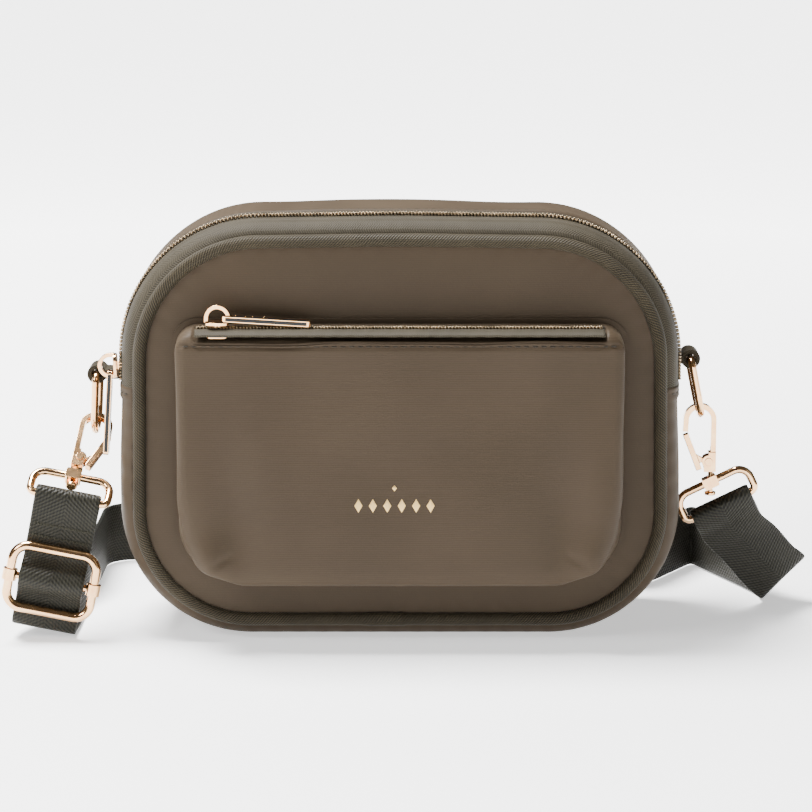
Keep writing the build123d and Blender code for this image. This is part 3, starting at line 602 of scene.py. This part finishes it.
def ease(x, low, high):
    """0 below low, 1 above high, and a smooth step between."""
    t = np.clip((x - low) / (high - low), 0, 1)
    return t * t * (3 - 2 * t)


# %% [markdown]
# ## The gusset
#
# The gusset is the wall between the two panels. It stands out behind the piping and is level across the
# middle, like a tyre. Below the ends of the zip it is one wide strip of padded neoprene, folded over at its
# top edge and stitched. Above them, its front part is the zip and its rear part is neoprene again.

# %% How far the gusset stands out
HALF_DEPTH = 31.0
SEAM_Y = 29.6  # where the gusset's cloth meets the piping
SWELL = 8.5
ZIP_Y = -18.0
ZIP_END = 99.0  # the height of the zip's two ends
CLOTH = 2.2  # the neoprene's thickness
HEM_STITCH = 3.2  # from the lower gusset's top edge to its stitches


def swell(y):
    """SWELL times (1 minus y over 29.9 to the power 6) to the power 0.4545: level, and steep at the seams."""
    return SWELL * np.clip(1 - np.abs(y / 29.9) ** 6, 0, 1) ** 0.4545


def strip(name, start, stop, y0, y1, height, rows=24, step=1.6):
    """A strip of the gusset: height is a function of distance and y that is added to the swell."""
    distance = np.linspace(start, stop, int((stop - start) / step) + 1)
    share = (1 - np.cos(np.linspace(0, np.pi, rows))) / 2
    y, d = grid(y0 + (y1 - y0) * share, distance)
    points = shell(bag, d, y, swell(y) + height(d, y))
    return grid_mesh(name, points, stack(y, d) * MM)


right_end_of_zip = bag.side(ZIP_END, 1)
left_end_of_zip = bag.side(ZIP_END, -1)


# %% Lower gusset
def lower_height(d, y):
    """Slow dents, puckers at both seams, and a double thickness at the folded top edge."""
    from_end = np.minimum(d - left_end_of_zip, right_end_of_zip + bag.length - d)
    place, _ = bag.at(d)
    floor = ease(place[..., 1], 10, 30)
    dents = wobble(d, y, 90) * 0.55 * floor - 0.3 * floor
    seam = -0.28 * puckers(d, HALF_DEPTH - np.abs(y) - 2)
    hem = 0.75 * ease(from_end, -0.5, 0.8) * (1 - ease(from_end, 5.0, 6.2))
    hem = hem - 1.4 * (1 - ease(from_end, 0, 0.7))
    return dents + seam + hem - 0.35 * bell(from_end - HEM_STITCH, 0.7)


round_the_bottom = left_end_of_zip, right_end_of_zip + bag.length
lower = strip("lower_gusset_cloth", *round_the_bottom, -SEAM_Y, SEAM_Y, lower_height, step=0.8)
dress(thicken(lower, CLOTH * MM), plain_neoprene, "neoprene", stands_for=["lower_gusset", "zip_end_hems"])

# %% Upper gusset, behind the zip
TAPE_EDGE = -9.9
ROLL_STITCH = 2.2  # from there to the stitches behind it


def upper_height(d, y):
    """A rolled edge beside the tape, sewn down 2 mm in, and puckers at the rear seam."""
    from_tape = y - TAPE_EDGE
    rolled = -1.1 * bell(from_tape, 0.55)
    rolled = rolled - 0.4 * bell(from_tape - ROLL_STITCH, 0.6)
    return wobble(d, y, 80) * 0.45 + rolled - 0.25 * puckers(d, HALF_DEPTH - y - 2) + 0.2


over_the_top = right_end_of_zip - 1, left_end_of_zip + 1
upper = strip("upper_gusset_cloth", *over_the_top, TAPE_EDGE, SEAM_Y, upper_height, rows=36)
dress(thicken(upper, CLOTH * MM), plain_neoprene, "neoprene", stands_for=["top_gusset"])


# %% [markdown]
# ## Zips
#
# A zip is two woven tapes with a row of teeth on each facing edge. The tape is thin, and dips where the
# teeth are sewn to it. Each tooth is a small rounded block, and the two rows are half a pitch apart so that
# they mesh. One tooth is made, and its points are carried to every place on the track in one array sum.


# %% Tapes of the main zip
def tape_height(d, y):
    """The tape lies just under the neoprene and dips beneath the teeth."""
    return -0.35 - 0.9 * bell(y - ZIP_Y, 2.0, 4) + 0.08 * puckers(d, y + 29, pitch=6)


TAPE_THICK = 0.7
under_the_top = right_end_of_zip - 2, left_end_of_zip + 2
for name, y0, y1 in (("front", -SEAM_Y, ZIP_Y - 0.05), ("rear", ZIP_Y + 0.05, TAPE_EDGE + 0.9)):
    tape = strip(f"main_tape_{name}", *under_the_top, y0, y1, tape_height, rows=14)
    dress(thicken(tape, TAPE_THICK * MM), tape_cloth, "zip_tape", stands_for=[f"main_zip_tape_{name}"])


# %% Many small pieces as one mesh
def scatter(name, template, faces, origins, axes):
    """Copies of one small shape: a point is its origin plus the template's point along that copy's axes."""
    points = origins[:, None] + np.einsum("tk,nkc->ntc", template, axes)
    count = len(template)
    all_faces = [[v + i * count for v in face] for i in range(len(origins)) for face in faces]
    mesh = bpy.data.meshes.new(name)
    mesh.from_pydata(points.reshape(-1, 3).tolist(), [], all_faces)
    layer = mesh.uv_layers.new(name="cloth")
    corner = np.empty(len(mesh.loops), int)
    mesh.loops.foreach_get("vertex_index", corner)
    spread = np.tile(template[:, [1, 0]], (len(origins), 1))
    layer.data.foreach_set("uv", spread[corner].ravel())
    mesh.shade_smooth()
    return add_object(name, mesh)


def pillow(power, rings=5, sides=8):
    """A rounded block of half size 1: a sphere whose sines and cosines are raised to a power below 1."""
    tilt = np.linspace(-np.pi / 2, np.pi / 2, rings + 2)[1:-1]
    turn = np.linspace(0, TAU, sides, endpoint=False)
    t, a = grid(tilt, turn)
    x, y = (squared(np.cos(t), power) * squared(wave(a), power) for wave in (np.cos, np.sin))
    ball = stack(x, y, squared(np.sin(t), power))
    points = np.concatenate([ball.reshape(-1, 3), [[0, 0, -1], [0, 0, 1]]])
    here, after = np.arange(sides), np.roll(np.arange(sides), -1)
    belt = stack(here, after, after + sides, here + sides)
    faces = [face for r in range(rings - 1) for face in (belt + r * sides).tolist()]
    last = (rings - 1) * sides
    faces += stack(after, here, rings * sides).tolist()
    faces += stack(last + here, last + after, rings * sides + 1).tolist()
    return points, faces


tooth_points, tooth_faces = pillow(0.55)
TOOTH = np.array([0.42, 0.95, 0.75])  # half its size along the track, across it and outwards
TOOTH_Y = 0.78  # from the zip's middle to a tooth's
PITCH = 1.25


def teeth(name, origins, across, along_track, out, node):
    """A row of teeth; the three directions are one for each tooth."""
    axes = np.stack([along_track * TOOTH[0], across * TOOTH[1], out * TOOTH[2]], axis=1) * MM
    row = scatter(name, tooth_points, tooth_faces, origins, axes)
    return dress(row, teeth_metal, "zip_teeth", stands_for=[node])


# %% Teeth of the main zip
track_length = left_end_of_zip - right_end_of_zip
for name, sign in (("front", -1), ("rear", 1)):
    distance = right_end_of_zip + np.arange(1, track_length - 1, PITCH) + (PITCH / 2 if sign > 0 else 0)
    y = ZIP_Y + sign * TOOTH_Y
    _, out = bag.at(distance)
    out3 = stack(out[:, 0], 0, out[:, 1])
    across = straight((0, -1, 0), len(out3))
    origins = shell(bag, distance, y, swell(y) - 0.05)
    teeth(f"main_teeth_{name}", origins, across, np.cross(across, out3), out3, f"main_zip_teeth_{name}")

# %% [markdown]
# ## Piping
#
# Both seams are piped: a cord inside a bias strip of twill, so its ridges slant round the tube. The piping
# is a little fatter where the strip's two ends overlap.

# %% Piping
PIPING = 2.55


def piping(name, y, node):
    """A tube round the seam: radius times cos outwards and radius times sin along Y."""
    distance = np.linspace(0, bag.length, int(bag.length / 1.2) + 1)
    turn = np.linspace(0, TAU, 25)
    a, d = grid(turn, distance)
    from_join = np.abs(np.mod(d + bag.length / 2 + 6, bag.length) - bag.length / 2)
    radius = PIPING * (1 + 0.025 * wobble(d, a * 3, 33)) + 0.28 * (1 - ease(from_join, 7.0, 8.0))
    place, out = bag.at(d)
    reach = radius * np.cos(a)
    x, z = place[..., 0] + out[..., 0] * reach, place[..., 1] + out[..., 1] * reach
    points = stack(x, y + radius * np.sin(a), z)
    uv = stack(a * PIPING, d) * MM
    tube = grid_mesh(name, points[:-1, :-1] * MM, uv, closed=(True, True), flip=True)
    return dress(tube, twill, "piping", stands_for=[node])


piping("front_piping_cloth", -HALF_DEPTH, "front_piping")
piping("rear_piping_cloth", HALF_DEPTH, "rear_piping")

# %% [markdown]
# ## Panels
#
# Front and back are padded panels, crowned a little and pulled down at the seam. A panel is a set of rings:
# the outline shrunk by a share that goes from 1 at the seam to 0 in the middle, and the crown depends on
# that share alone, with slow dents added.


# %% Panels
PANEL_CENTRE = np.array([0, 82.0])


def panel(name, facing, crown, node):
    """Rings of the outline shrunk to share k, lifted by crown times (1 - k to the power 9)."""
    k = 1 - np.linspace(0, 1, 30)[:-1] ** 1.5
    distance = np.linspace(0, bag.length, 361)
    share, d = grid(k, distance)
    rim, _ = bag.at(d, -2.0)
    place = PANEL_CENTRE + (rim - PANEL_CENTRE) * share[..., None]
    from_seam = (1 - share) * 90
    lift = crown * (1 - share**9) + wobble(place[..., 0], place[..., 1], 95) * 0.16 * (1 - share**4)
    lift -= 0.12 * puckers(d, from_seam, reach=5)
    y = facing * (HALF_DEPTH + 0.1 + lift)
    points = stack(place[..., 0], y, place[..., 1])[:, :-1] * MM
    uv = stack(place[..., 0], place[..., 1]) * MM
    sheet = grid_mesh(name, points, uv, closed=(False, True), flip=facing > 0)
    close_middle(sheet)
    thicken(sheet, CLOTH * MM)
    dress(sheet, plain_neoprene, "neoprene", stands_for=[node])


def close_middle(sheet):
    """Fills the small ring that is left in the middle of a set of rings."""
    work = bmesh.new()
    work.from_mesh(sheet.data)
    rims = [e for e in work.edges if e.is_boundary]
    middle = PANEL_CENTRE[1] * MM
    inner = min(rims, key=lambda e: abs(e.verts[0].co.x) + abs(e.verts[0].co.z - middle))
    loop, todo = set(), [inner]
    while todo:
        edge = todo.pop()
        if edge not in loop:
            loop.add(edge)
            todo += [e for v in edge.verts for e in v.link_edges if e.is_boundary and e not in loop]
    bmesh.ops.holes_fill(work, edges=list(loop), sides=0)
    bmesh.ops.recalc_face_normals(work, faces=work.faces)
    outward = -1 if sheet.data.vertices[0].co.y < 0 else 1
    if sum(f.normal.y for f in work.faces) * outward < 0:
        bmesh.ops.reverse_faces(work, faces=work.faces)
    work.to_mesh(sheet.data)
    work.free()
    sheet.data.shade_smooth()


panel("front_panel_cloth", -1, 1.30, "front_panel")
panel("back_panel_cloth", 1, 2.2, "back_panel")

# %% [markdown]
# ## The front pocket
#
# The pocket is a pouch: a soft side wall that turns over a shoulder into the front. Its bottom corners are
# tucked into darts, so they stand out, and its top edge is folded and sewn down. It is again a set of
# rings, each the pocket's outline drawn in and brought forward by amounts that trace the side wall, the
# shoulder and the front in turn.

# %% Pocket
pocket_low, pocket_high = (np.array(corner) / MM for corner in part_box("front_pocket"))
POCKET_BACK, POCKET_FRONT = pocket_high[1] - 0.4, pocket_low[1]
POCKET_DEPTH = POCKET_BACK - POCKET_FRONT
POCKET = [(-84, 25), (84, 25), (84, 124), (-84, 124)]
pocket_line = Outline(POCKET, [22, 22, 8, 8])
POCKET_ZIP_Y = POCKET_FRONT + 8.3
POCKET_CENTRE = np.array([0, 76.0])
LIP_DROP = 1.7  # how far the pocket's front edge hangs below its zip
EDGE_SEAM_Z = 119.6  # the height of the stitches along that edge


def bump_at(x, z, x0, z0, wide, tall):
    """A round bump of height 1: e to the power minus the squares of x and z over its width and height."""
    return np.exp(-(((x - x0) / wide) ** 2) - (((z - z0) / tall) ** 2))


def dart(x, z):
    """How far the darts bring the front out: an ear over each bottom corner, a roll above it along the side,
    a hollow beside the roll, and one short crease that runs up and inwards from the ear.
    """
    x = np.abs(x)
    ear = 2.2 * bump_at(x, z, 71, 37, 6, 8)
    roll = 1.4 * bump_at(x, z, 75, 58, 7, 26)
    hollow = -2.4 * bump_at(x, z, 61, 50, 7.5, 23)
    from_crease = (x - 70) * 0.55 + (z - 34) * 0.83
    along_crease = (70 - x) * 0.83 + (z - 34) * 0.55
    crease = -0.8 * bell(from_crease, 1.6)
    return ear + roll + hollow + crease * ease(along_crease, -2, 1) * (1 - ease(along_crease, 5, 9))


def tuck(x, z, share):
    """Pulls the front's bottom corners in: narrower below z = 60, and cut by a slanting line at each. The
    cut is soft: the log of 1 plus e to the power of the distance past the line.
    """
    x = x * (1 - 0.062 * np.clip((60 - z) / 30, 0, 1) ** 1.3 * share)
    past = 0.55 * np.abs(x) - 0.83 * z - 13.4
    past = np.log1p(np.exp(np.clip(past * 0.8, -30, 30))) / 0.8
    past = (past - 2.6 * bump_at(np.abs(x), z, 73, 34, 8, 7)) * share
    return x - np.sign(x) * 0.55 * past, z + 0.83 * past


def pocket_rings():
    """For each ring: how far it is drawn in, its share of the depth, and its share of the front's size."""
    wall, shoulder = np.linspace(0, 1, 12)[:-1], np.linspace(0, np.pi / 2, 12)
    face = np.linspace(1, 0, 34)[1:-1]
    inset = np.concatenate([wall * 0.4, 0.4 + 4.2 * (1 - np.cos(shoulder)), np.full(len(face), 4.6)])
    forward = np.concatenate([wall * 0.78, 0.78 + 0.22 * np.sin(shoulder), np.ones(len(face))])
    share = np.concatenate([np.ones(len(wall) + len(shoulder)), face**0.9])
    return inset, forward, share


def pocket_relief(x, z):
    """The front hangs out low down, leans back towards the zip, and has its darts and slow dents."""
    belly = 1.5 * bell(z - 50, 30) * (1 - (x / 95) ** 4) - 1.0 * ease(z, 80, 122)
    return belly + dart(x, z) + 0.35 * wobble(x, z, 70)


def pocket_points(distance):
    """Every ring's points at those distances round it, and their places on the flat cloth."""
    inset, forward, share = pocket_rings()
    inset, d = grid(inset, distance)
    place, _ = pocket_line.at(d, -inset)
    low = 1 - ease(place[..., 1], 25, 75)
    place, _ = pocket_line.at(d, -inset * (1 + 0.9 * low))
    tucked = tuck(place[..., 0], place[..., 1], ease(forward[:, None], 0.1, 1.0))
    place = POCKET_CENTRE + (stack(*tucked) - POCKET_CENTRE) * share[:, None, None]
    x, z = place[..., 0], place[..., 1]
    on_face = ease(forward[:, None], 0.75, 1.0)
    full = forward[:, None] * POCKET_DEPTH + on_face * pocket_relief(x, z)
    full += on_face * -0.55 * bell(z - EDGE_SEAM_Z, 0.8) * (np.abs(x) < 82)
    y = POCKET_BACK - full
    behind = y - POCKET_ZIP_Y
    slot = (1 - ease(np.abs(x), 76, 77.2)) * (z > 115)
    slot = slot * (1 - ease(behind, 3.7, 4.5)) * (1 - ease(-behind, 6.0, 7.0))
    side = 0.5 * wobble(d, full * 2, 60) * (1 - on_face) * (share[:, None] == 1)
    z = z - LIP_DROP * ease(-behind, 1, 8) * ease(z, 108, 122) - 2.6 * slot
    return stack(x + np.sign(x) * side * 0.6, y, z), stack(x, z)


distance = np.linspace(0, pocket_line.length, 541)
points, flat_place = pocket_points(distance)
pocket = grid_mesh("front_pocket_cloth", points[:, :-1] * MM, flat_place * MM, closed=(False, True))
close_middle(pocket)
thicken(pocket, 1.2 * MM)
dress(pocket, ribbed_neoprene, "neoprene", stands_for=["front_pocket"])

# %% Tapes and teeth of the pocket's zip
track_z = pocket_high[2] - 0.1
for name, sign in (("front", -1), ("rear", 1)):
    reach = np.linspace(0.05, 7.3 if sign < 0 else 4.6, 12)
    x = np.linspace(-76.2, 76.2, 160)
    r, x = grid(reach, x)
    fall = LIP_DROP * ease(r, 2.5, 8) if sign < 0 else 0
    z = track_z - 1.0 * bell(r, 2.0, 4) + 0.05 * np.cos(x / 6 * TAU) - fall
    y = POCKET_ZIP_Y + sign * r
    points = stack(x, y, z) * MM
    tape = grid_mesh(f"pocket_tape_{name}", points, stack(y, x) * MM, flip=sign > 0)
    dress(thicken(tape, TAPE_THICK * MM), tape_cloth, "zip_tape", stands_for=[f"pocket_zip_tape_{name}"])
    x = np.arange(-75.5, 75.5, PITCH) + (PITCH / 2 if sign > 0 else 0)
    origins = stack(x, POCKET_ZIP_Y + sign * TOOTH_Y, track_z) * MM
    ways = [straight(way, len(x)) for way in ((0, 1, 0), (1, 0, 0), (0, 0, 1))]
    teeth(f"pocket_teeth_{name}", origins, *ways, f"pocket_zip_teeth_{name}")

# %% [markdown]
# ## Stitches
#
# A row of machine stitches is a row of short threads that dip into the cloth at both ends. Like the teeth,
# one is made and carried to every place, in equal steps along a line on the cloth. Its three directions
# are the line's own, the cloth's outward one, and their cross.

# %% A row of stitches
stitch_points, stitch_faces = pillow(0.85, rings=5, sides=6)


def stitches(name, line, out, length=2.3, gap=0.9, radius=0.3, finish=thread, slot="neoprene"):
    """Stitches along a line of points in millimetres, each with its outward direction."""
    far = along(line)
    count = max(1, int(far[-1] / (length + gap)))
    middles = (np.arange(count) + 0.5) * far[-1] / count
    here = follow(middles, far, line)
    way = unit(follow(middles + length / 2, far, line) - follow(middles - length / 2, far, line))
    up = follow(middles, far, out)
    up = unit(up - way * (up * way).sum(1, keepdims=True))
    axes = np.stack([way * length / 2, np.cross(up, way) * radius, up * radius], axis=1) * MM
    row = scatter(name, stitch_points, stitch_faces, here * MM, axes)
    return dress(row, finish, slot)


# %% Stitches on the neoprene
def on_pocket_face(x, z):
    """Where along Y the pocket's front is at x and z, as the rings above have it."""
    return POCKET_BACK - (POCKET_DEPTH + pocket_relief(x, z) - 0.55)


x = np.linspace(-81, 81, 60)
z = EDGE_SEAM_Z - LIP_DROP * ease(EDGE_SEAM_Z, 108, 122)
line = stack(x, on_pocket_face(x, EDGE_SEAM_Z) - 0.12, z)
stitches("pocket_edge_stitches", line, straight((0, -1, 0), len(x)))

for name, start, way in (("left", left_end_of_zip, 1), ("right", right_end_of_zip, -1)):
    y = np.linspace(-28.4, 28.4, 60)
    d = np.full_like(y, start + way * HEM_STITCH)
    _, out = bag.at(d)
    line = shell(bag, d, y, swell(y) + lower_height(np.where(way > 0, d, d + bag.length), y) + 0.05) / MM
    stitches(f"hem_stitches_{name}", line, stack(out[:, 0], 0, out[:, 1]))

d = np.linspace(right_end_of_zip + 1, left_end_of_zip - 1, 260)
y = TAPE_EDGE + ROLL_STITCH
_, out = bag.at(d)
line = shell(bag, d, y, swell(y) + upper_height(d, y) + 0.08) / MM
stitches("upper_gusset_stitches", line, stack(out[:, 0], 0, out[:, 1]))

# %% [markdown]
# ## A foil trim
#
# A short row of foil lozenges is pressed into the pocket's front. Each is a small grid that lies on the
# cloth's own formula.

# %% Foil lozenges
def lozenges(centres, half_width, half_height, steps=6):
    """Patches whose sides slant: x is (a - b) times half the width and z is (a + b) times half the height."""
    a, b = grid(np.linspace(-0.5, 0.5, steps), np.linspace(-0.5, 0.5, steps))
    for i, (x0, z0) in enumerate(centres):
        x, z = x0 + (a - b) * half_width, z0 + (a + b) * half_height
        rim = 1 - np.maximum(np.abs(a), np.abs(b)) * 2
        y = on_pocket_face(x, z) - 0.60 - 0.10 * np.clip(rim * 3, 0, 1)
        points = stack(x, y, z) * MM
        yield grid_mesh(f"foil_lozenge_{half_height:.0f}_{i}", points, stack(x, z) * MM)


emblem_low, emblem_high = (np.array(corner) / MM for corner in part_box("emblem_foil"))
row_x = np.linspace(emblem_low[0] + 1.5, emblem_high[0] - 1.5, 6)
foil_pieces = [*lozenges([(x, emblem_low[2] + 2.6) for x in row_x], 1.5, 2.6)]
foil_pieces += lozenges([((emblem_low[0] + emblem_high[0]) / 2, emblem_high[2] - 1.2)], 0.9, 1.2)
for patch in foil_pieces:
    dress(patch, foil, "gold", stands_for=["emblem_foil"])

# %% Zigzag stitches that hold the strap's left end
def zigzag(name, bar, up, front, across, forward, height, rows=9, rise=1.5):
    """A zigzag across the webbing, that far in front of a loop's bar and that far up from it."""
    x = np.linspace(-11, 11, rows * 2 + 1)
    lift = np.where(np.arange(len(x)) % 2 == 0, -rise, rise) / 2
    line = bar + across * x[:, None] + up * (height + lift)[:, None] + front * forward
    look = {"length": 1.7, "gap": 0.2, "radius": 0.42, "finish": webbing_thread, "slot": "webbing"}
    return stitches(name, line, straight(front, len(line)), **look)


left_rows = [
    zigzag(f"left_strap_zigzag_{i}", LEFT_BAR, LEFT_UP, LEFT_FRONT, LEFT_ACROSS, 1.55, height)
    for i, height in enumerate([-11.4, -16.2])
]

# %% [markdown]
# ## The strap's length
#
# The strap is a free cord with a real length and width, which leaves the object at the left loop and goes
# back into it at the right one. Its length in metres is worked out here.

round(float(along(strap_line)[-1]), 3)


# %% [markdown]
# ## Hardware
#
# The frame's metal parts have the right shape but knife-sharp edges, and an edge shows mainly by the line
# of light along it. Each part is copied, its doubled points are merged, flat faces are joined up, and a
# small bevel goes round every sharp edge.


# %% Round the edges of a part
def soften(node, width, finish, slot, body):
    """A copy of one of the frame's parts with a bevel that wide round its sharp edges."""
    mesh = frame["nodes"][node].data.copy()
    piece = add_object(node + "_round", mesh)
    work = bmesh.new()
    work.from_mesh(mesh)
    bmesh.ops.remove_doubles(work, verts=work.verts, dist=2e-6)
    bmesh.ops.dissolve_limit(work, angle_limit=np.radians(0.6), verts=work.verts, edges=work.edges)
    work.to_mesh(mesh)
    work.free()
    edge = piece.modifiers.new("edges", "BEVEL")
    edge.width = width * MM
    edge.segments = 3
    edge.limit_method = "ANGLE"
    edge.angle_limit = np.radians(38)
    edge.harden_normals = True
    mesh.shade_smooth()
    mesh.set_sharp_from_angle(angle=np.radians(50))
    return dress(piece, finish, slot, body, stands_for=[node])


HOOK_PARTS = [("hook", 0.6, "hook"), ("hook_gate", 0.5, "hook_gate"), ("gate_rivet", 0.15, "hook")]
HOOK_PARTS += [("swivel_post", 0.15, "hook"), ("swivel_loop", 0.3, "swivel_loop")]
for side in ("left", "right"):
    for part, width, body in HOOK_PARTS:
        soften(f"{part}_{side}", width, gilt, "gold", f"{body}_{side}")
for name in ("main", "pocket"):
    soften(f"{name}_slider", 0.22, gilt, "gold", f"{name}_slider")
    soften(f"{name}_pull", 0.4, gilt, "gold", f"{name}_pull")

# %% The twill tabs that the rings hang in
for side in ("left", "right"):
    soften(f"ring_tab_{side}", 0.5, tab_twill, "piping", "bag")

# %% [markdown]
# ## Parts that keep their own shape
#
# The rings, the adjuster, the inlays, the springs, the flange round the pocket and the lining are already
# right, so they only get a material.

# %% Materials for the frame's own parts
OWN = {
    gilt: ["d_ring_left", "d_ring_right", "adjuster_frame", "adjuster_bar"],
    enamel: ["main_pull_inlay", "pocket_pull_inlay"],
    steel: ["gate_spring_left", "gate_spring_right"],
    lining_cloth: ["main_lining", "inner_slip_pocket"],
    plain_neoprene: ["pocket_flange"],
}
for finish, nodes in OWN.items():
    for node in nodes:
        part = frame["nodes"][node]
        for slot in part.material_slots:
            slot.material = finish
    print(finish.name, "on", ", ".join(nodes))

# %% [markdown]
# ## Enamelled edges of the pulls
#
# Each zip pull is a flat gilt bar whose long faces are filled with dark enamel, so that only a thin gilt
# rim is left. On the edge that faces forwards the enamel is made here: a strip smaller than the bar's front
# face by the rim's width, and set just proud of it.


# %% Enamel on the front edge
def edge_enamel(name, rim=0.3, proud=0.05):
    """A strip along the longest way of the front face, smaller than it by the rim's width all round."""
    mesh = frame["nodes"][name].data
    corners = np.empty(len(mesh.vertices) * 3)
    mesh.vertices.foreach_get("co", corners)
    corners = corners.reshape(-1, 3) / MM
    front = corners[corners[:, 1] < corners[:, 1].min() + 0.02]
    middle = front.mean(axis=0)
    way = np.linalg.svd(front - middle)[2][0]
    side = np.cross(way, [0, 1, 0])
    reach = (front - middle) @ way
    half = np.abs((front - middle) @ side).max() - rim
    ends = np.array([reach.min() + rim, reach.max() - rim])
    s, t = grid(np.linspace(*ends, 24), np.linspace(-half, half, 7))
    bulge = proud * (1 - (t / half) ** 4)
    points = middle + s[..., None] * way + t[..., None] * side - bulge[..., None] * np.array([0, 1, 0])
    inlay = grid_mesh(name + "_edge_enamel", points * MM, stack(t, s) * MM)
    if sum(face.normal.y for face in inlay.data.polygons) > 0:
        inlay.data.flip_normals()
    dress(inlay, enamel, "dark_inlay", name)


for name in ("main_pull", "pocket_pull"):
    edge_enamel(name)

# %% [markdown]
# ## Floor and light
#
# The purse stands on a white floor under soft light: one large lamp high on the left and slightly behind,
# which throws the soft shadow forwards and to the right, and a weak one from either side in front. The floor
# also glows as painted light, brightly away from the purse and dimly close to it, so the shadows stay.

# %% Studio
side = np.linspace(-8, 8, 33)
x, y = grid(side, side)
floor = grid_mesh("floor", stack(x, y, -0.0002), stack(x, y))
paper = Finish("white paper", roughness=0.9, specular_ior_level=0.1, emission_strength=1.0)
paper_place, paper_x, paper_y, _ = paper.place()
from_purse = (paper_x * paper_x + paper_y * paper_y).math("SQRT")
paper.set("Base_Color", paper.blend(paper.noise(paper_place, 400.0), [0.90] * 3, [0.93] * 3))
# Painted light: the floor's glow rises from 0.8 close to the purse to 4.5 from 1.1 m away.
paper.set("Emission_Color", paper.blend(from_purse.bounds(150.0, 1100.0), [0.8] * 3, [4.5] * 3))
floor.data.materials.append(paper.material)


def lamp(name, place, target, size, power):
    """A white rectangular lamp that faces its target."""
    light = bpy.data.lights.new(name, "AREA")
    light.shape = "RECTANGLE"
    light.size, light.size_y = size
    light.energy = power
    holder = bpy.data.objects.new(name, light)
    holder.location = place
    holder.rotation_euler = (Vector(target) - Vector(place)).to_track_quat("-Z", "Y").to_euler()
    bpy.context.scene.collection.objects.link(holder)
    print(name, "lamp:", power, "W")


lamp("key", (-0.40, 0.12, 1.2), (0, 0, 0.05), (0.55, 0.55), 75)
lamp("fill", (-1.0, -0.8, 0.9), (0, 0, 0.10), (0.5, 0.5), 15)
lamp("side", (1.2, -0.9, 0.6), (0.1, 0, 0.08), (0.3, 0.9), 0.8)
world = bpy.data.worlds.new("studio")
world.use_nodes = True
world.node_tree.nodes["Background"].inputs["Color"].default_value = (1, 1, 1, 1)
world.node_tree.nodes["Background"].inputs["Strength"].default_value = 0.10
bpy.context.scene.world = world
